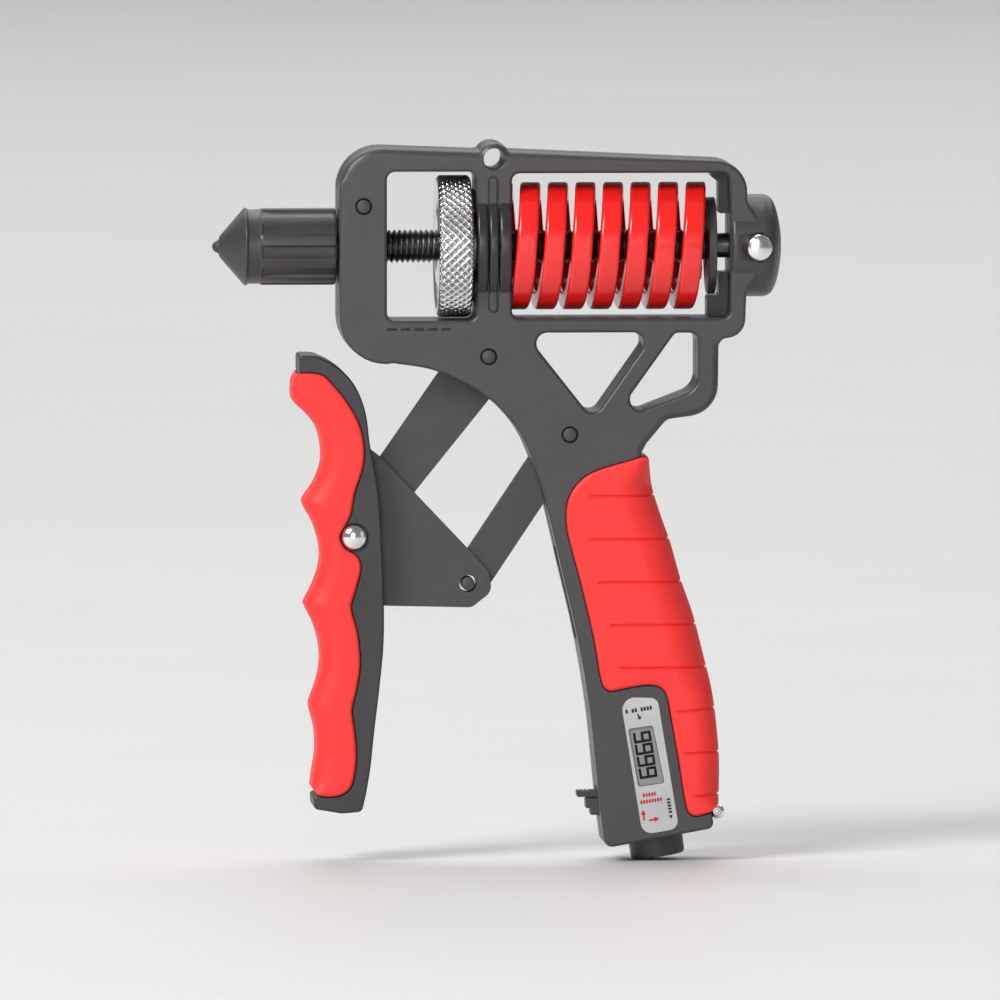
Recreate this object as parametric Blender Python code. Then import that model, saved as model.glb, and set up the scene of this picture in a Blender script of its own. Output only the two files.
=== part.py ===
"""Hand dynamometer: an adjustable spring hand grip with a squeeze counter in its handle.

The frame stands in the XZ plane, as it is held in the right hand: +X towards the palm, +Z up and Y across
the thickness, with the parting plane of its two shells at Y = 0. Shapes are drawn in millimetres and
scaled to metres when their mesh is made.
"""

import math

import bmesh
import bpy
from mathutils import Matrix, Vector

MM = 0.001
GAP = 0.3  # between pieces that touch

# Main sizes, in millimetres.
HALF = 10.3  # half the frame's thickness
PARTING = 0.15  # half the gap between the two shells
AXIS_Z = 144.7  # height of the rod and of the spring's axis
DOWEL = (-31.8, 154.5)
LEVER_PIVOT = (-2.4, 119.1)
LINK_PIVOT = (16.7, 100.7)
HANDLE_PIVOT = (-34.0, 76.7)
BRACKET_PIVOT = (-6.9, 65.3)
PIN_R = 1.7
LINK_HALF = 1.5  # half the thickness of the flat links
BRACKET_INNER = 1.8
BRACKET_OUTER = 3.4
ROD_R = 4.0  # M8
NUT_R = 16.7
NUT_X = (-14.2, -6.3)
DIVIDER_X = (-5.3, 2.9)
KEY_Z = (129.7, 161.3)  # the key plates set into the wall between the windows
BULGE_R = 14.7
BOSS_R = 12.05
BOSS_X = 63.2
SPRING_R = 15.05
SPRING_X = (3.4, 49.1)
SPRING_PITCH = 6.5
FRONT_STRAND = 6.35  # where the first strand crosses the front at the axis' height
FRONT_STRANDS = 7
WIRE_WIDTH = 4.8
WIRE_DEPTH = 4.2
GRIP_HALF = 10.9
GRIP_CORE_HALF = 8.6
HANDLE_HALF = 9.8
HANDLE_GRIP_HALF = 10.4
HANDLE_CORE_HALF = 8.0
FOOT_TILT = math.radians(8.4)
FOOT_R = 6.0  # at its end face
FOOT_X = 38.1
RESET_Z = 11.2


# ---------------------------------------------------------------- outlines

def corner_arc(before, corner, after, radius):
    """Points of a fillet at a corner between two straight edges."""
    here = Vector(corner)
    to_before = (Vector(before) - here).normalized()
    to_after = (Vector(after) - here).normalized()
    half = to_before.angle(to_after) / 2
    centre = here + (to_before + to_after).normalized() * (radius / math.sin(half))
    start = here + to_before * (radius / math.tan(half)) - centre
    sweep = math.pi - 2 * half
    if to_before.cross(to_after) > 0:
        sweep = -sweep
    steps = max(2, round(abs(sweep) / math.radians(30)))
    turned = []
    for i in range(steps + 1):
        a = sweep * i / steps
        turned.append((centre.x + start.x * math.cos(a) - start.y * math.sin(a),
                       centre.y + start.x * math.sin(a) + start.y * math.cos(a)))
    return turned


def rounded(corners):
    """A closed outline from (x, z, radius) corners."""
    points = []
    for i, (x, z, radius) in enumerate(corners):
        if radius:
            after = corners[(i + 1) % len(corners)]
            points += corner_arc(corners[i - 1][:2], (x, z), after[:2], radius)
        else:
            points.append((x, z))
    return points


def curve(points, steps=2):
    """A smooth curve through points, both ends included (Catmull-Rom)."""
    ends = [points[0]] + list(points) + [points[-1]]
    out = []
    for p0, p1, p2, p3 in zip(ends, ends[1:], ends[2:], ends[3:]):
        for k in range(steps):
            t = k / steps
            out.append(tuple(
                0.5 * (2 * b + (c - a) * t + (2 * a - 5 * b + 4 * c - d) * t * t
                       + (3 * b - a - 3 * c + d) * t * t * t)
                for a, b, c, d in zip(p0, p1, p2, p3)))
    out.append(tuple(points[-1]))
    return out


def circle(x, z, radius, steps=16):
    return [(x + radius * math.cos(2 * math.pi * i / steps), z + radius * math.sin(2 * math.pi * i / steps))
            for i in range(steps)]


def area(points):
    return sum(a[0] * b[1] - b[0] * a[1] for a, b in zip(points, points[1:] + points[:1])) / 2


def offset(points, amount):
    """The outline moved outwards by amount, or by amount(x, z); points run anticlockwise."""
    if area(points) < 0:
        points = points[::-1]
    moved = []
    for i, (x, z) in enumerate(points):
        before = Vector(points[i - 1])
        after = Vector(points[(i + 1) % len(points)])
        here = Vector((x, z))
        a = (here - before).normalized()
        b = (after - here).normalized()
        normal = Vector((a.y + b.y, -a.x - b.x)).normalized()
        stretch = 1 / max(0.5, normal.dot(Vector((a.y, -a.x))))
        much = amount(x, z) if callable(amount) else amount
        moved.append((x + normal.x * much * stretch, z + normal.y * much * stretch))
    return moved


# ---------------------------------------------------------------- objects

def material(name, colour, roughness, metallic=0.0):
    made = bpy.data.materials.new(name)
    made.use_nodes = True
    shader = made.node_tree.nodes["Principled BSDF"]
    shader.inputs["Base Color"].default_value = (*colour, 1)
    shader.inputs["Roughness"].default_value = roughness
    shader.inputs["Metallic"].default_value = metallic
    made.diffuse_color = (*colour, 1)
    return made


def add(name, bm, look=None):
    """An object from a bmesh in millimetres. Without a look it is a hidden cutter."""
    bmesh.ops.recalc_face_normals(bm, faces=bm.faces)
    bm.transform(Matrix.Scale(MM, 4))
    mesh = bpy.data.meshes.new(name)
    bm.to_mesh(mesh)
    bm.free()
    obj = bpy.data.objects.new(name, mesh)
    bpy.context.scene.collection.objects.link(obj)
    if look:
        mesh.materials.append(look)
        mesh.shade_smooth()
        mesh.set_sharp_from_angle(angle=math.radians(35))
    else:
        obj.hide_render = True
        obj.display_type = "WIRE"
    return obj


def bridged(bm, rings):
    """Closed skin over rings of equal length, capped at both ends."""
    made = [[bm.verts.new(p) for p in ring] for ring in rings]
    for low, high in zip(made, made[1:]):
        for i in range(len(low)):
            j = (i + 1) % len(low)
            bm.faces.new((low[i], low[j], high[j], high[i]))
    bm.faces.new(made[0][::-1])
    bm.faces.new(made[-1])


def prism(name, points, y0, y1, look=None):
    """The outline in XZ pushed from y0 to y1."""
    bm = bmesh.new()
    bridged(bm, [[(x, y, z) for x, z in points] for y in (y0, y1)])
    return add(name, bm, look)


def box(name, x, y, z):
    return prism(name, [(x[0], z[0]), (x[1], z[0]), (x[1], z[1]), (x[0], z[1])], *y)


def eased(points, half, radius, steps=3):
    """Rings from a full outline at the radius' foot to the rounded rim at y = half."""
    rings = []
    for k in range(steps + 1):
        a = math.pi / 2 * k / steps

        def inset(x, z):
            much = radius(x, z) if callable(radius) else radius
            return -much * (1 - math.cos(a))

        flat = offset(points, inset)
        base = points if area(points) > 0 else points[::-1]
        rings.append([(fx, half - (radius(x, z) if callable(radius) else radius) * (1 - math.sin(a)), fz)
                      for (fx, fz), (x, z) in zip(flat, base)])
    return rings


def slab(name, points, side, half, radius, look, steps=1):
    """One shell: flat at the parting plane, with a rounded rim on its outer face at side * half."""
    rim = eased(points, half, radius, steps)
    rings = [[(x, side * PARTING, z) for x, y, z in rim[0]]]
    rings += [[(x, side * y, z) for x, y, z in ring] for ring in rim]
    bm = bmesh.new()
    bridged(bm, rings)
    return add(name, bm, look)


def bar(name, points, half, radius, look, steps=3):
    """A piece right across the parting plane, with both rims rounded."""
    rim = eased(points, half, radius, steps)
    rings = [[(x, -y, z) for x, y, z in ring] for ring in reversed(rim)] + rim
    bm = bmesh.new()
    bridged(bm, rings)
    return add(name, bm, look)


def lathe(name, profile, centre=(0, 0, AXIS_Z), axis="X", look=None, steps=24, closed=False):
    """A turned piece: profile points are (along the axis, radius), and closed makes a ring of them."""
    bm = bmesh.new()
    rings = []
    for along, radius in profile:
        if radius == 0:
            rings.append([bm.verts.new((along, 0, 0))])
            continue
        turn = [2 * math.pi * i / steps for i in range(steps)]
        rings.append([bm.verts.new((along, radius * math.cos(a), radius * math.sin(a))) for a in turn])
    pairs = list(zip(rings, rings[1:]))
    if closed:
        pairs.append((rings[-1], rings[0]))
    for low, high in pairs:
        for i in range(steps):
            j = (i + 1) % steps
            corners = [low[i % len(low)], low[j % len(low)], high[j % len(high)], high[i % len(high)]]
            bm.faces.new(list(dict.fromkeys(corners)))
    if axis == "Y":
        bm.transform(Matrix.Rotation(math.pi / 2, 4, "Z"))
    if axis == "Z":
        bm.transform(Matrix.Rotation(-math.pi / 2, 4, "Y"))
    bm.transform(Matrix.Translation(centre))
    return add(name, bm, look)


def boolean(target, others, operation="DIFFERENCE"):
    for other in others:
        step = target.modifiers.new(other.name, "BOOLEAN")
        step.operation = operation
        step.object = other
        step.solver = "EXACT"
    return target


def fuse(target, others):
    for other in others:
        other.hide_render = True
        other.display_type = "WIRE"
    return boolean(target, others, "UNION")


def pivot(name, x, y, z, parent=None):
    """An empty on a joint's axis, in millimetres."""
    empty = bpy.data.objects.new(name, None)
    bpy.context.scene.collection.objects.link(empty)
    empty.empty_display_size = 0.01
    hang(empty, parent)
    empty.matrix_world = Matrix.Translation(Vector((x, y, z)) * MM)
    bpy.context.view_layer.update()
    return empty


def hang(obj, parent):
    """Parents obj without moving it."""
    if parent:
        obj.parent = parent
        obj.matrix_parent_inverse = parent.matrix_world.inverted()


# ---------------------------------------------------------------- shared outlines

FRONT_EDGE = [(-24.8, 117.6), (-16.2, 116.2), (-9.2, 113.4), (-2.0, 108.9), (4.2, 102.2), (8.0, 94.4),
              (11.4, 83.4), (14.7, 69.3), (17.7, 56.8), (20.0, 45.0), (21.7, 33.5), (22.9, 21.5),
              (23.8, 12.5)]
GRIP_BACK = [(35.5, 94.0), (36.4, 88.4), (38.1, 82.6), (40.9, 74.6), (43.2, 66.4), (46.0, 58.4),
             (48.5, 48.8), (50.4, 40.6), (51.6, 31.5), (52.2, 23.0), (52.0, 13.6)]
CORE_BACK = [(33.6, 95.5), (32.3, 92.0), (32.7, 87.0), (35.3, 78.0), (38.8, 66.4), (41.8, 57.6),
             (44.2, 48.8), (46.0, 40.6), (47.2, 31.5), (47.8, 23.0), (47.8, 14.5)]
GRIP_FRONT = [(29.8, 94.2), (26.8, 93.4), (21.3, 91.4), (17.8, 88.2), (16.1, 84.4), (16.0, 79.0),
              (17.5, 72.6), (19.3, 65.9), (21.0, 58.9), (22.6, 51.6), (23.6, 45.4), (24.1, 43.0)]
TAB = (-1.1, 165.6)
LABEL_CORNERS = [(28.5, 38.9, 3.0), (37.4, 38.7, 2.0), (42.5, 7.8, 2.2), (33.8, 6.3, 2.6)]
LCD_CORNERS = [(30.4, 31.4, 0.6), (36.2, 32.2, 0.6), (39.0, 18.6, 0.6), (32.8, 17.7, 0.6)]


def frame_outline():
    """The shells' outline: spring housing, rear boss flank, narrow handle core under the grip."""
    top = rounded([(-24.8, 117.4, 0), (-37.5, 117.4, 11.0), (-37.5, 168.7, 10.0), (-5.4, 167.5, 0)])[1:]
    tab = [(TAB[0] + 3.9 * math.cos(a), TAB[1] + 3.9 * math.sin(a))
           for a in (math.radians(d) for d in (148, 119, 90, 61, 32))]
    rear = rounded([(2.8, 167.4, 0), (58.9, 164.8, 7.5), (58.4, 155.5, 3.0), (61.6, 150.0, 1.5),
                    (61.6, 139.4, 1.5), (58.3, 134.6, 3.0), (57.9, 123.6, 4.5), (51.8, 123.2, 2.2),
                    (51.6, 105.8, 7.5), (39.6, 104.2, 3.0), (34.9, 98.6, 3.0), (33.8, 96.6, 0)])
    bottom = rounded([(47.8, 14.0, 0), (49.9, 12.9, 0.6), (50.8, 7.9, 1.6), (25.0, 3.2, 2.0),
                      (23.9, 11.5, 0)])
    return top + tab + rear + curve(CORE_BACK)[1:] + bottom[1:-1] + curve(FRONT_EDGE[::-1])


def grip_outline():
    top = [(35.2, 95.3), (33.4, 95.3)]
    low = [(24.5, 41.7), (25.3, 40.7), (26.6, 40.3), (30.6, 41.1), (34.5, 41.7), (37.1, 41.5),
           (38.9, 40.4), (39.9, 38.0), (41.1, 31.2), (42.3, 24.6), (43.3, 18.0), (44.2, 13.0),
           (45.2, 11.2), (46.8, 10.8), (49.8, 11.6)]
    return top + curve(GRIP_FRONT, 1) + curve(low, 1) + curve(GRIP_BACK[::-1], 1)


def grip_round(x, z):
    """The grip's rim radius: small on its faces' front edge, large over the heel of the hand."""
    back = min((Vector((x, z)) - Vector(p)).length for p in curve(GRIP_BACK, 4))
    return 0.8 + 5.2 * max(0.0, 1 - back / 3.0)


def frame_round(x, z):
    """The shells' rim radius: largest on the upper edge towards the rod cover."""
    if z > 160:
        return 1.9 if x < 0 else 1.9 - 1.0 * min(1.0, x / 40)
    if 96 < z < 122 and x > 30:
        return 1.6
    return 0.7


HANDLE_RIGHT = [(-39.7, 117.9), (-36.9, 115.9), (-34.4, 113.2), (-32.4, 109.4), (-31.1, 104.8),
                (-30.3, 98.4), (-29.0, 92.0), (-28.0, 84.0), (-27.5, 74.4), (-27.1, 64.0), (-27.1, 52.0),
                (-28.1, 41.0), (-29.3, 31.0), (-30.2, 22.5), (-31.2, 16.4)]
HANDLE_FINGERS = [(-47.0, 115.2), (-48.3, 113.2), (-48.3, 108.9), (-45.6, 106.0), (-42.8, 102.6),
                  (-41.5, 98.0), (-41.5, 93.6), (-43.1, 89.2), (-45.5, 85.6), (-45.7, 83.8), (-43.4, 79.6),
                  (-41.9, 74.6), (-41.8, 70.0), (-43.4, 65.0), (-45.3, 61.2), (-45.2, 59.8), (-43.1, 55.4),
                  (-41.8, 50.2), (-41.8, 45.6), (-42.8, 41.4), (-44.2, 37.4), (-44.1, 35.4), (-43.0, 31.0),
                  (-42.8, 25.6), (-43.6, 20.6), (-43.9, 17.6)]
HANDLE_GRIP_BACK = [(-42.6, 15.9), (-39.6, 15.6), (-36.6, 16.3), (-34.5, 18.8), (-33.6, 25.0),
                    (-34.0, 31.0), (-34.6, 36.0), (-33.5, 41.0), (-32.7, 47.0), (-33.3, 54.2),
                    (-34.8, 60.0), (-33.7, 64.4), (-32.5, 69.4), (-33.4, 72.2), (-36.3, 74.0),
                    (-37.5, 76.8), (-36.3, 79.4), (-34.9, 82.0), (-34.0, 87.0), (-32.2, 92.6),
                    (-31.7, 97.4), (-32.8, 103.0), (-35.6, 108.2), (-38.6, 112.0), (-41.2, 114.6),
                    (-44.2, 115.4)]


def handle_outline():
    left = [(-38.9, 20.0), (-39.4, 36.0), (-39.3, 60.0), (-39.3, 96.0), (-41.0, 103.0), (-45.0, 109.0),
            (-46.7, 113.5)]
    top = rounded([(-46.9, 114.5, 0), (-46.9, 119.5, 0.8), (-43.0, 119.4, 3.0), (-39.7, 117.9, 0)])
    low = rounded([(-31.2, 16.4, 0), (-32.2, 12.0, 1.4), (-37.0, 11.6, 3.0), (-43.5, 12.7, 1.0),
                   (-43.6, 15.4, 0.6), (-41.5, 17.0, 1.0), (-38.9, 20.0, 0)])
    return top[:-1] + curve(HANDLE_RIGHT)[:-1] + low[:-1] + left


def handle_grip_outline():
    return curve(HANDLE_FINGERS, 1) + curve(HANDLE_GRIP_BACK, 1)


# ---------------------------------------------------------------- looks

def looks():
    return {
        "shell": material("shell", (0.070, 0.068, 0.070), 0.42),
        "link": material("link", (0.085, 0.082, 0.084), 0.45, 0.3),
        "red_rubber": material("red_rubber", (0.85, 0.035, 0.03), 0.55),
        "red_enamel": material("red_enamel", (0.80, 0.02, 0.02), 0.25),
        "black_plastic": material("black_plastic", (0.03, 0.03, 0.032), 0.4),
        "silver": material("silver", (0.80, 0.80, 0.82), 0.2, 1.0),
        "dark_steel": material("dark_steel", (0.12, 0.12, 0.125), 0.35, 0.8),
        "label": material("label", (0.78, 0.78, 0.78), 0.35),
        "display": material("display", (0.42, 0.45, 0.43), 0.15),
        "board": material("board", (0.02, 0.16, 0.06), 0.5),
    }


# ---------------------------------------------------------------- the frame

def flared(name, points, half, chamfer):
    """A cutter right through both shells, opening out by a chamfer at each face."""
    over = 1.0
    rings = []
    for y, grow in ((-half - over, chamfer + over), (-half + chamfer, 0), (half - chamfer, 0),
                    (half + over, chamfer + over)):
        rings.append([(x, y, z) for x, z in offset(points, grow)])
    bm = bmesh.new()
    bridged(bm, rings)
    return add(name, bm)


def window_cutters():
    nut = rounded([(-26.3, 127.6, 1.9), (-5.3, 127.6, 1.9), (-5.3, 162.6, 1.9), (-26.3, 162.6, 1.9)])
    spring = rounded([(3.1, 128.0, 1.9), (54.5, 128.0, 1.9), (54.5, 162.2, 1.9), (3.1, 162.2, 1.9)])
    triangle = rounded([(6.1, 124.7, 2.6), (22.2, 104.3, 2.6), (36.5, 124.7, 2.6)])
    dee = rounded([(26.3, 103.4, 2.6), (46.9, 111.4, 4.6), (46.9, 124.6, 2.1), (41.5, 124.6, 1.9)])
    return [flared("nut_window", nut, HALF, 0.8), flared("spring_window", spring, HALF, 0.9),
            flared("triangle_window", triangle, HALF, 0.9), flared("dee_window", dee, HALF, 0.9),
            flared("tab_hole", circle(*TAB, 2.5, 20), HALF, 0.5)]


def inner_cutters():
    """The space the two shells close around: links, fork, rod, guide post, counter and pins."""
    x, z = LEVER_PIVOT
    links = [(x - 11.5, z + 1.0), (x - 11.5, z + 12.6), (x + 4.6, z + 12.6), (x + 8.0, z + 1.0),
             (8.6, 104.5), (18.0, 107.0), (22.0, 101.0), (21.2, 93.0), (22.4, 70.0), (22.4, 54.0),
             (14.0, 54.0), (-4.0, 104.0), (-19.0, 109.0)]
    return [
        prism("link_slot", links, -2.1, 2.1),
        prism("bracket_slot", [(10.0, 74.0), (23.2, 74.0), (23.2, 54.0), (10.0, 48.0)], -5.4, 5.4),
        box("fork_space", (-9.0, 0.9), (-8.9, 8.9), (131.4, 158.0)),
        lathe("rod_way", [(-40, 0), (-40, 4.5), (6, 4.5), (6, 0)], steps=24),
        lathe("post_way", [(52, 0), (52, 3.3), (56, 3.3), (56, 6.9), (64.6, 6.9), (64.6, 0)], steps=24),
        lathe("cross_pin_way", [(-14, 0), (-14, 3.4), (14, 3.4), (14, 0)], (61.2, 0, AXIS_Z), "Y", steps=24),
        box("counter_space", (29.0, 40.6), (-8.4, 8.4), (10.5, 37.0)),
        box("trigger_space", (20.0, 30.0), (-3.4, 3.4), (10.2, 17.6)),
        box("reset_space", (39.0, 55.0), (-2.0, 2.0), (RESET_Z - 2.0, RESET_Z + 2.0)),
    ]


def pin_cutters():
    places = (("dowel_hole", DOWEL), ("lever_hole", LEVER_PIVOT), ("link_hole", LINK_PIVOT))
    return [prism(name, circle(*at, PIN_R + GAP), -HALF - 1, HALF + 1) for name, at in places]


def foot_piece(name, profile, look=None, steps=32):
    """A piece turned about the foot's tilted axis, placed by distance up from the foot's end face."""
    made = lathe(name, profile, (0, 0, 0), "Z", look, steps)
    at = Vector((FOOT_X, 0, FOOT_R * math.sin(FOOT_TILT)))
    made.data.transform(Matrix.Translation(at * MM) @ Matrix.Rotation(-FOOT_TILT, 4, "Y"))
    return made


def stop_ribs():
    """The two ribs inside the rear shell that stop the spring seat at the right end of its window."""
    low = rounded([(49.7, 127.0, 0), (55.3, 127.0, 0), (55.3, 138.4, 0), (52.4, 138.4, 0.5),
                   (52.4, 132.9, 0.5), (49.7, 132.9, 0.8)])
    high = rounded([(55.3, 163.2, 0), (50.6, 163.2, 0), (50.6, 160.9, 0.8), (52.4, 159.6, 1.0),
                    (52.4, 152.2, 0.5), (55.3, 152.2, 0)])
    return [prism("low_stop_rib", low, 0.6, 9.0), prism("high_stop_rib", high, 0.6, 9.0)]


def build_shells(look):
    windows = window_cutters()
    inner = inner_cutters()
    pins = pin_cutters()
    foot_hole = foot_piece("foot_hole", [(1.0, 0), (1.0, 6.9), (9.3, 6.9), (9.3, 0)])
    label_hole = prism("label_hole", rounded(LABEL_CORNERS), -HALF - 1, -7.9)
    for name, side in (("front_frame_shell", -1), ("rear_frame_shell", 1)):
        shell = slab(name, frame_outline(), side, HALF, frame_round, look)
        boss = lathe(f"{name}_boss", [(54.7, 0), (54.7, BOSS_R), (BOSS_X, BOSS_R), (64.6, 11.3), (65.5, 9.5),
                                      (66.3, 6.4), (66.9, 3.2), (67.1, 0)], steps=32)
        bulge = lathe(f"{name}_bulge", [(DIVIDER_X[0], 0), (DIVIDER_X[0], 14.2), (-4.9, BULGE_R),
                                        (2.5, BULGE_R), (DIVIDER_X[1], 14.2), (DIVIDER_X[1], 0)], steps=32)
        fuse(shell, [boss, bulge])
        grip_seat = prism(f"{name}_grip_seat", offset(grip_outline(), GAP),
                          side * (GRIP_CORE_HALF - GAP), side * (HALF + 2))
        insert_slot = box(f"{name}_insert_slot", (-2.6, 0.0), sorted((side * 9.5, side * (HALF + 6))),
                          (KEY_Z[0] - GAP, KEY_Z[1] + GAP))
        beyond = box(f"{name}_beyond", (-60, 80), sorted((side * PARTING, -side * 30)), (-10, 190))
        boolean(shell, [beyond, grip_seat, insert_slot] + windows + inner + pins + [foot_hole])
        if side < 0:
            boolean(shell, [label_hole])
        else:
            boolean(shell, stop_ribs(), "UNION")


def build_inserts(look):
    """The narrow key plates set into each side of the wall between the two windows."""
    for name, side in (("front_divider_key", -1), ("rear_divider_key", 1)):
        low, high = KEY_Z
        outline = rounded([(-2.3, low, 1.0), (-0.3, low, 1.0), (-0.3, high, 1.0), (-2.3, high, 1.0)])
        plate = prism(name, outline, side * 9.8, side * HALF, look)
        bead = lathe(f"{name}_bead", [(-2.3, 9.9), (-2.3, BULGE_R - 0.4), (-1.9, BULGE_R), (-0.7, BULGE_R),
                                      (-0.3, BULGE_R - 0.4), (-0.3, 9.9)], steps=40, closed=True)
        inside = box(f"{name}_inside", (-9, 9), sorted((side * 9.8, -side * 30)), (120, 170))
        fuse(plate, [bead])
        boolean(plate, [inside])


# ---------------------------------------------------------------- fixed pieces

def pin(name, at, half, radius, look, crown=0.0):
    """A pin along Y, flush, or with a domed end of the given height."""
    ends = [(half - 0.3, radius), (half, radius - 0.3)]
    if crown:
        ends = [(half, radius), (half + crown * 0.6, radius * 0.8), (half + crown * 0.9, radius * 0.45)]
    profile = [(-half - crown, 0)] + [(-y, r) for y, r in reversed(ends)] + ends + [(half + crown, 0)]
    return lathe(name, profile, (at[0], 0, at[1]), "Y", look, steps=16)


def build_fixed(look):
    pin("frame_dowel", DOWEL, HALF - 0.1, PIN_R, look["shell"])
    pin("upper_pivot_pin", LEVER_PIVOT, HALF - 0.1, PIN_R, look["shell"])
    pin("lower_pivot_pin", LINK_PIVOT, HALF - 0.1, PIN_R, look["shell"])
    lathe("rear_cross_pin", [(-12.6, 0), (-12.6, 2.75), (-12.2, 3.1), (12.2, 3.1), (12.6, 2.75), (12.6, 0)],
          (61.2, 0, AXIS_Z), "Y", look["silver"])
    post = lathe("guide_post", [(30, 0), (30, 1.6), (30.4, 1.9), (51.9, 1.9), (51.9, 2.9), (56.3, 2.9),
                                (56.3, 6.5), (64.2, 6.5), (64.2, 0)], look=look["dark_steel"])
    boolean(post, [lathe("post_hole", [(-9, 0), (-9, 3.4), (9, 3.4), (9, 0)], (61.2, 0, AXIS_Z), "Y",
                         steps=24)])
    lathe("rod_cover", [(-60.2, 0), (-60.2, 4.2), (-59.0, 5.3), (-37.9, 5.3), (-37.9, 8.75), (-38.5, 9.05),
                        (-56.0, 9.05), (-56.3, 8.8), (-58.8, 8.8), (-59.3, 9.25), (-65.0, 2.8), (-65.6, 1.6),
                        (-66.6, 1.2), (-67.0, 0)], look=look["black_plastic"])
    grip = bar("main_grip", grip_outline(), GRIP_HALF, grip_round, look["red_rubber"])
    core = prism("grip_core", offset(frame_outline(), GAP), -GRIP_CORE_HALF, GRIP_CORE_HALF)
    button_way = lathe("button_way", [(40, 0), (40, 2.0), (60, 2.0), (60, 0)], (0, 0, RESET_Z), steps=20)
    boolean(grip, [core, button_way])
    foot_piece("end_foot", [(0, 0), (0, FOOT_R), (0.4, FOOT_R + 0.35), (8.9, 6.6), (8.9, 0)],
               look["black_plastic"])


def build_counter(look):
    plate = offset(rounded(LABEL_CORNERS), -GAP)
    bezel = prism("counter_bezel", plate, -HALF - 0.2, -9.3, look["label"])
    boolean(bezel, [prism("display_hole", rounded(LCD_CORNERS), -HALF - 2, -6)])
    prism("display_window", offset(rounded(LCD_CORNERS), -GAP), -HALF, -8.7, look["display"])
    board = rounded([(30.8, 35.8, 0.5), (36.2, 36.2, 0.5), (39.6, 16.6, 0.5), (33.6, 15.6, 0.5)])
    prism("circuit_board", board, -8.3, -7.3, look["board"])
    cell = [(-6.9, 0), (-6.9, 4.4), (-6.6, 4.75), (-4.3, 4.75), (-4.3, 0)]
    lathe("button_cell", cell, (34.9, 0, 25.0), "Y", look["silver"])
    guide = rounded([(20.9, 10.6, 0.4), (27.0, 10.6, 0.4), (27.0, 14.6, 0.4), (20.9, 14.6, 0.4)])
    prism("trigger_guide", guide, -3.0, 3.0, look["link"])
    blade = rounded([(18.8, 14.8, 0.5), (26.5, 14.8, 0.3), (26.5, 16.4, 0.3), (18.8, 16.4, 0.5)])
    trigger = prism("counter_trigger", blade, -2.4, 2.4, look["black_plastic"])
    hang(trigger, pivot("trigger_travel", 18.8, 0, 16.1))
    knob = [(45.5, 0), (45.5, 0.9), (50.6, 0.9), (50.9, 1.4), (51.6, 1.8), (52.6, 1.8), (53.5, 1.3),
            (53.8, 0)]
    button = lathe("reset_button", knob, (0, 0, RESET_Z), look=look["silver"], steps=20)
    hang(button, pivot("reset_travel", 53.8, 0, RESET_Z))


# ---------------------------------------------------------------- the screw and the spring

def build_screw(look):
    left, right = NUT_X
    rim = [(left, 4.45), (left, 15.9), (left + 0.9, NUT_R), (right - 0.9, NUT_R), (right, 15.9),
           (right, 4.45)]
    nut = lathe("adjusting_nut", rim, look=look["silver"], steps=48, closed=True)
    rod = lathe("tension_rod", [(-41.0, 0), (-41.0, 3.4), (-40.4, ROD_R), (51.0, ROD_R), (51.3, 3.7),
                                (51.3, 2.3), (29.5, 2.3), (29.0, 0)], look=look["dark_steel"])
    disc = [(49.4, 4.3), (49.4, 11.1), (49.7, 11.4), (51.1, 11.4), (51.4, 11.1), (51.4, 4.3)]
    seat = lathe("spring_seat", disc, look=look["shell"], steps=32, closed=True)
    ring = [(-6.0, 4.4), (-6.0, 8.5), (-4.9, 8.5), (-4.9, 4.4)]
    washer = lathe("thrust_washer", ring, look=look["dark_steel"], closed=True)
    return nut, rod, seat, washer


def build_spring(look):
    """A left-handed coil of flat wire with its ends ground square."""
    per_turn = 16
    start = FRONT_STRAND - 1.5 * SPRING_PITCH
    turns = 1.5 + FRONT_STRANDS - 0.4  # the wire ends behind, past its last turn in front
    inner = SPRING_R - WIRE_DEPTH
    rings = []
    for i in range(round(turns * per_turn) + 1):
        a = 2 * math.pi * i / per_turn
        x = start + SPRING_PITCH * i / per_turn
        ring = []
        for along, radius in ((-1, inner), (-1, SPRING_R), (1, SPRING_R), (1, inner)):
            ring.append((x + along * WIRE_WIDTH / 2, radius * math.cos(a), AXIS_Z - radius * math.sin(a)))
        rings.append(ring)
    bm = bmesh.new()
    bridged(bm, rings)
    spring = add("spring", bm, look["red_enamel"])
    ends = [box("spring_left_end", (-20, SPRING_X[0]), (-20, 20), (120, 170)),
            box("spring_right_end", (SPRING_X[1], 80), (-20, 20), (120, 170))]
    return boolean(spring, ends)


# ---------------------------------------------------------------- links and front handle

def tapered_link(ends):
    """The outline of a flat bar around circles (x, z, radius), two ends, widening between them."""
    (x0, z0, r0), (x1, z1, r1) = ends
    along = Vector((x1 - x0, z1 - z0))
    heading = math.atan2(along.y, along.x)
    lean = math.asin((r0 - r1) / along.length)
    points = []
    for x, z, r, start in ((x0, z0, r0, math.pi / 2 - lean), (x1, z1, r1, -math.pi / 2 + lean)):
        sweep = math.pi + (2 * lean if r == r1 else -2 * lean)
        for k in range(11):
            a = heading + start + sweep * k / 10
            points.append((x + r * math.cos(a), z + r * math.sin(a)))
    return points


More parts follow.
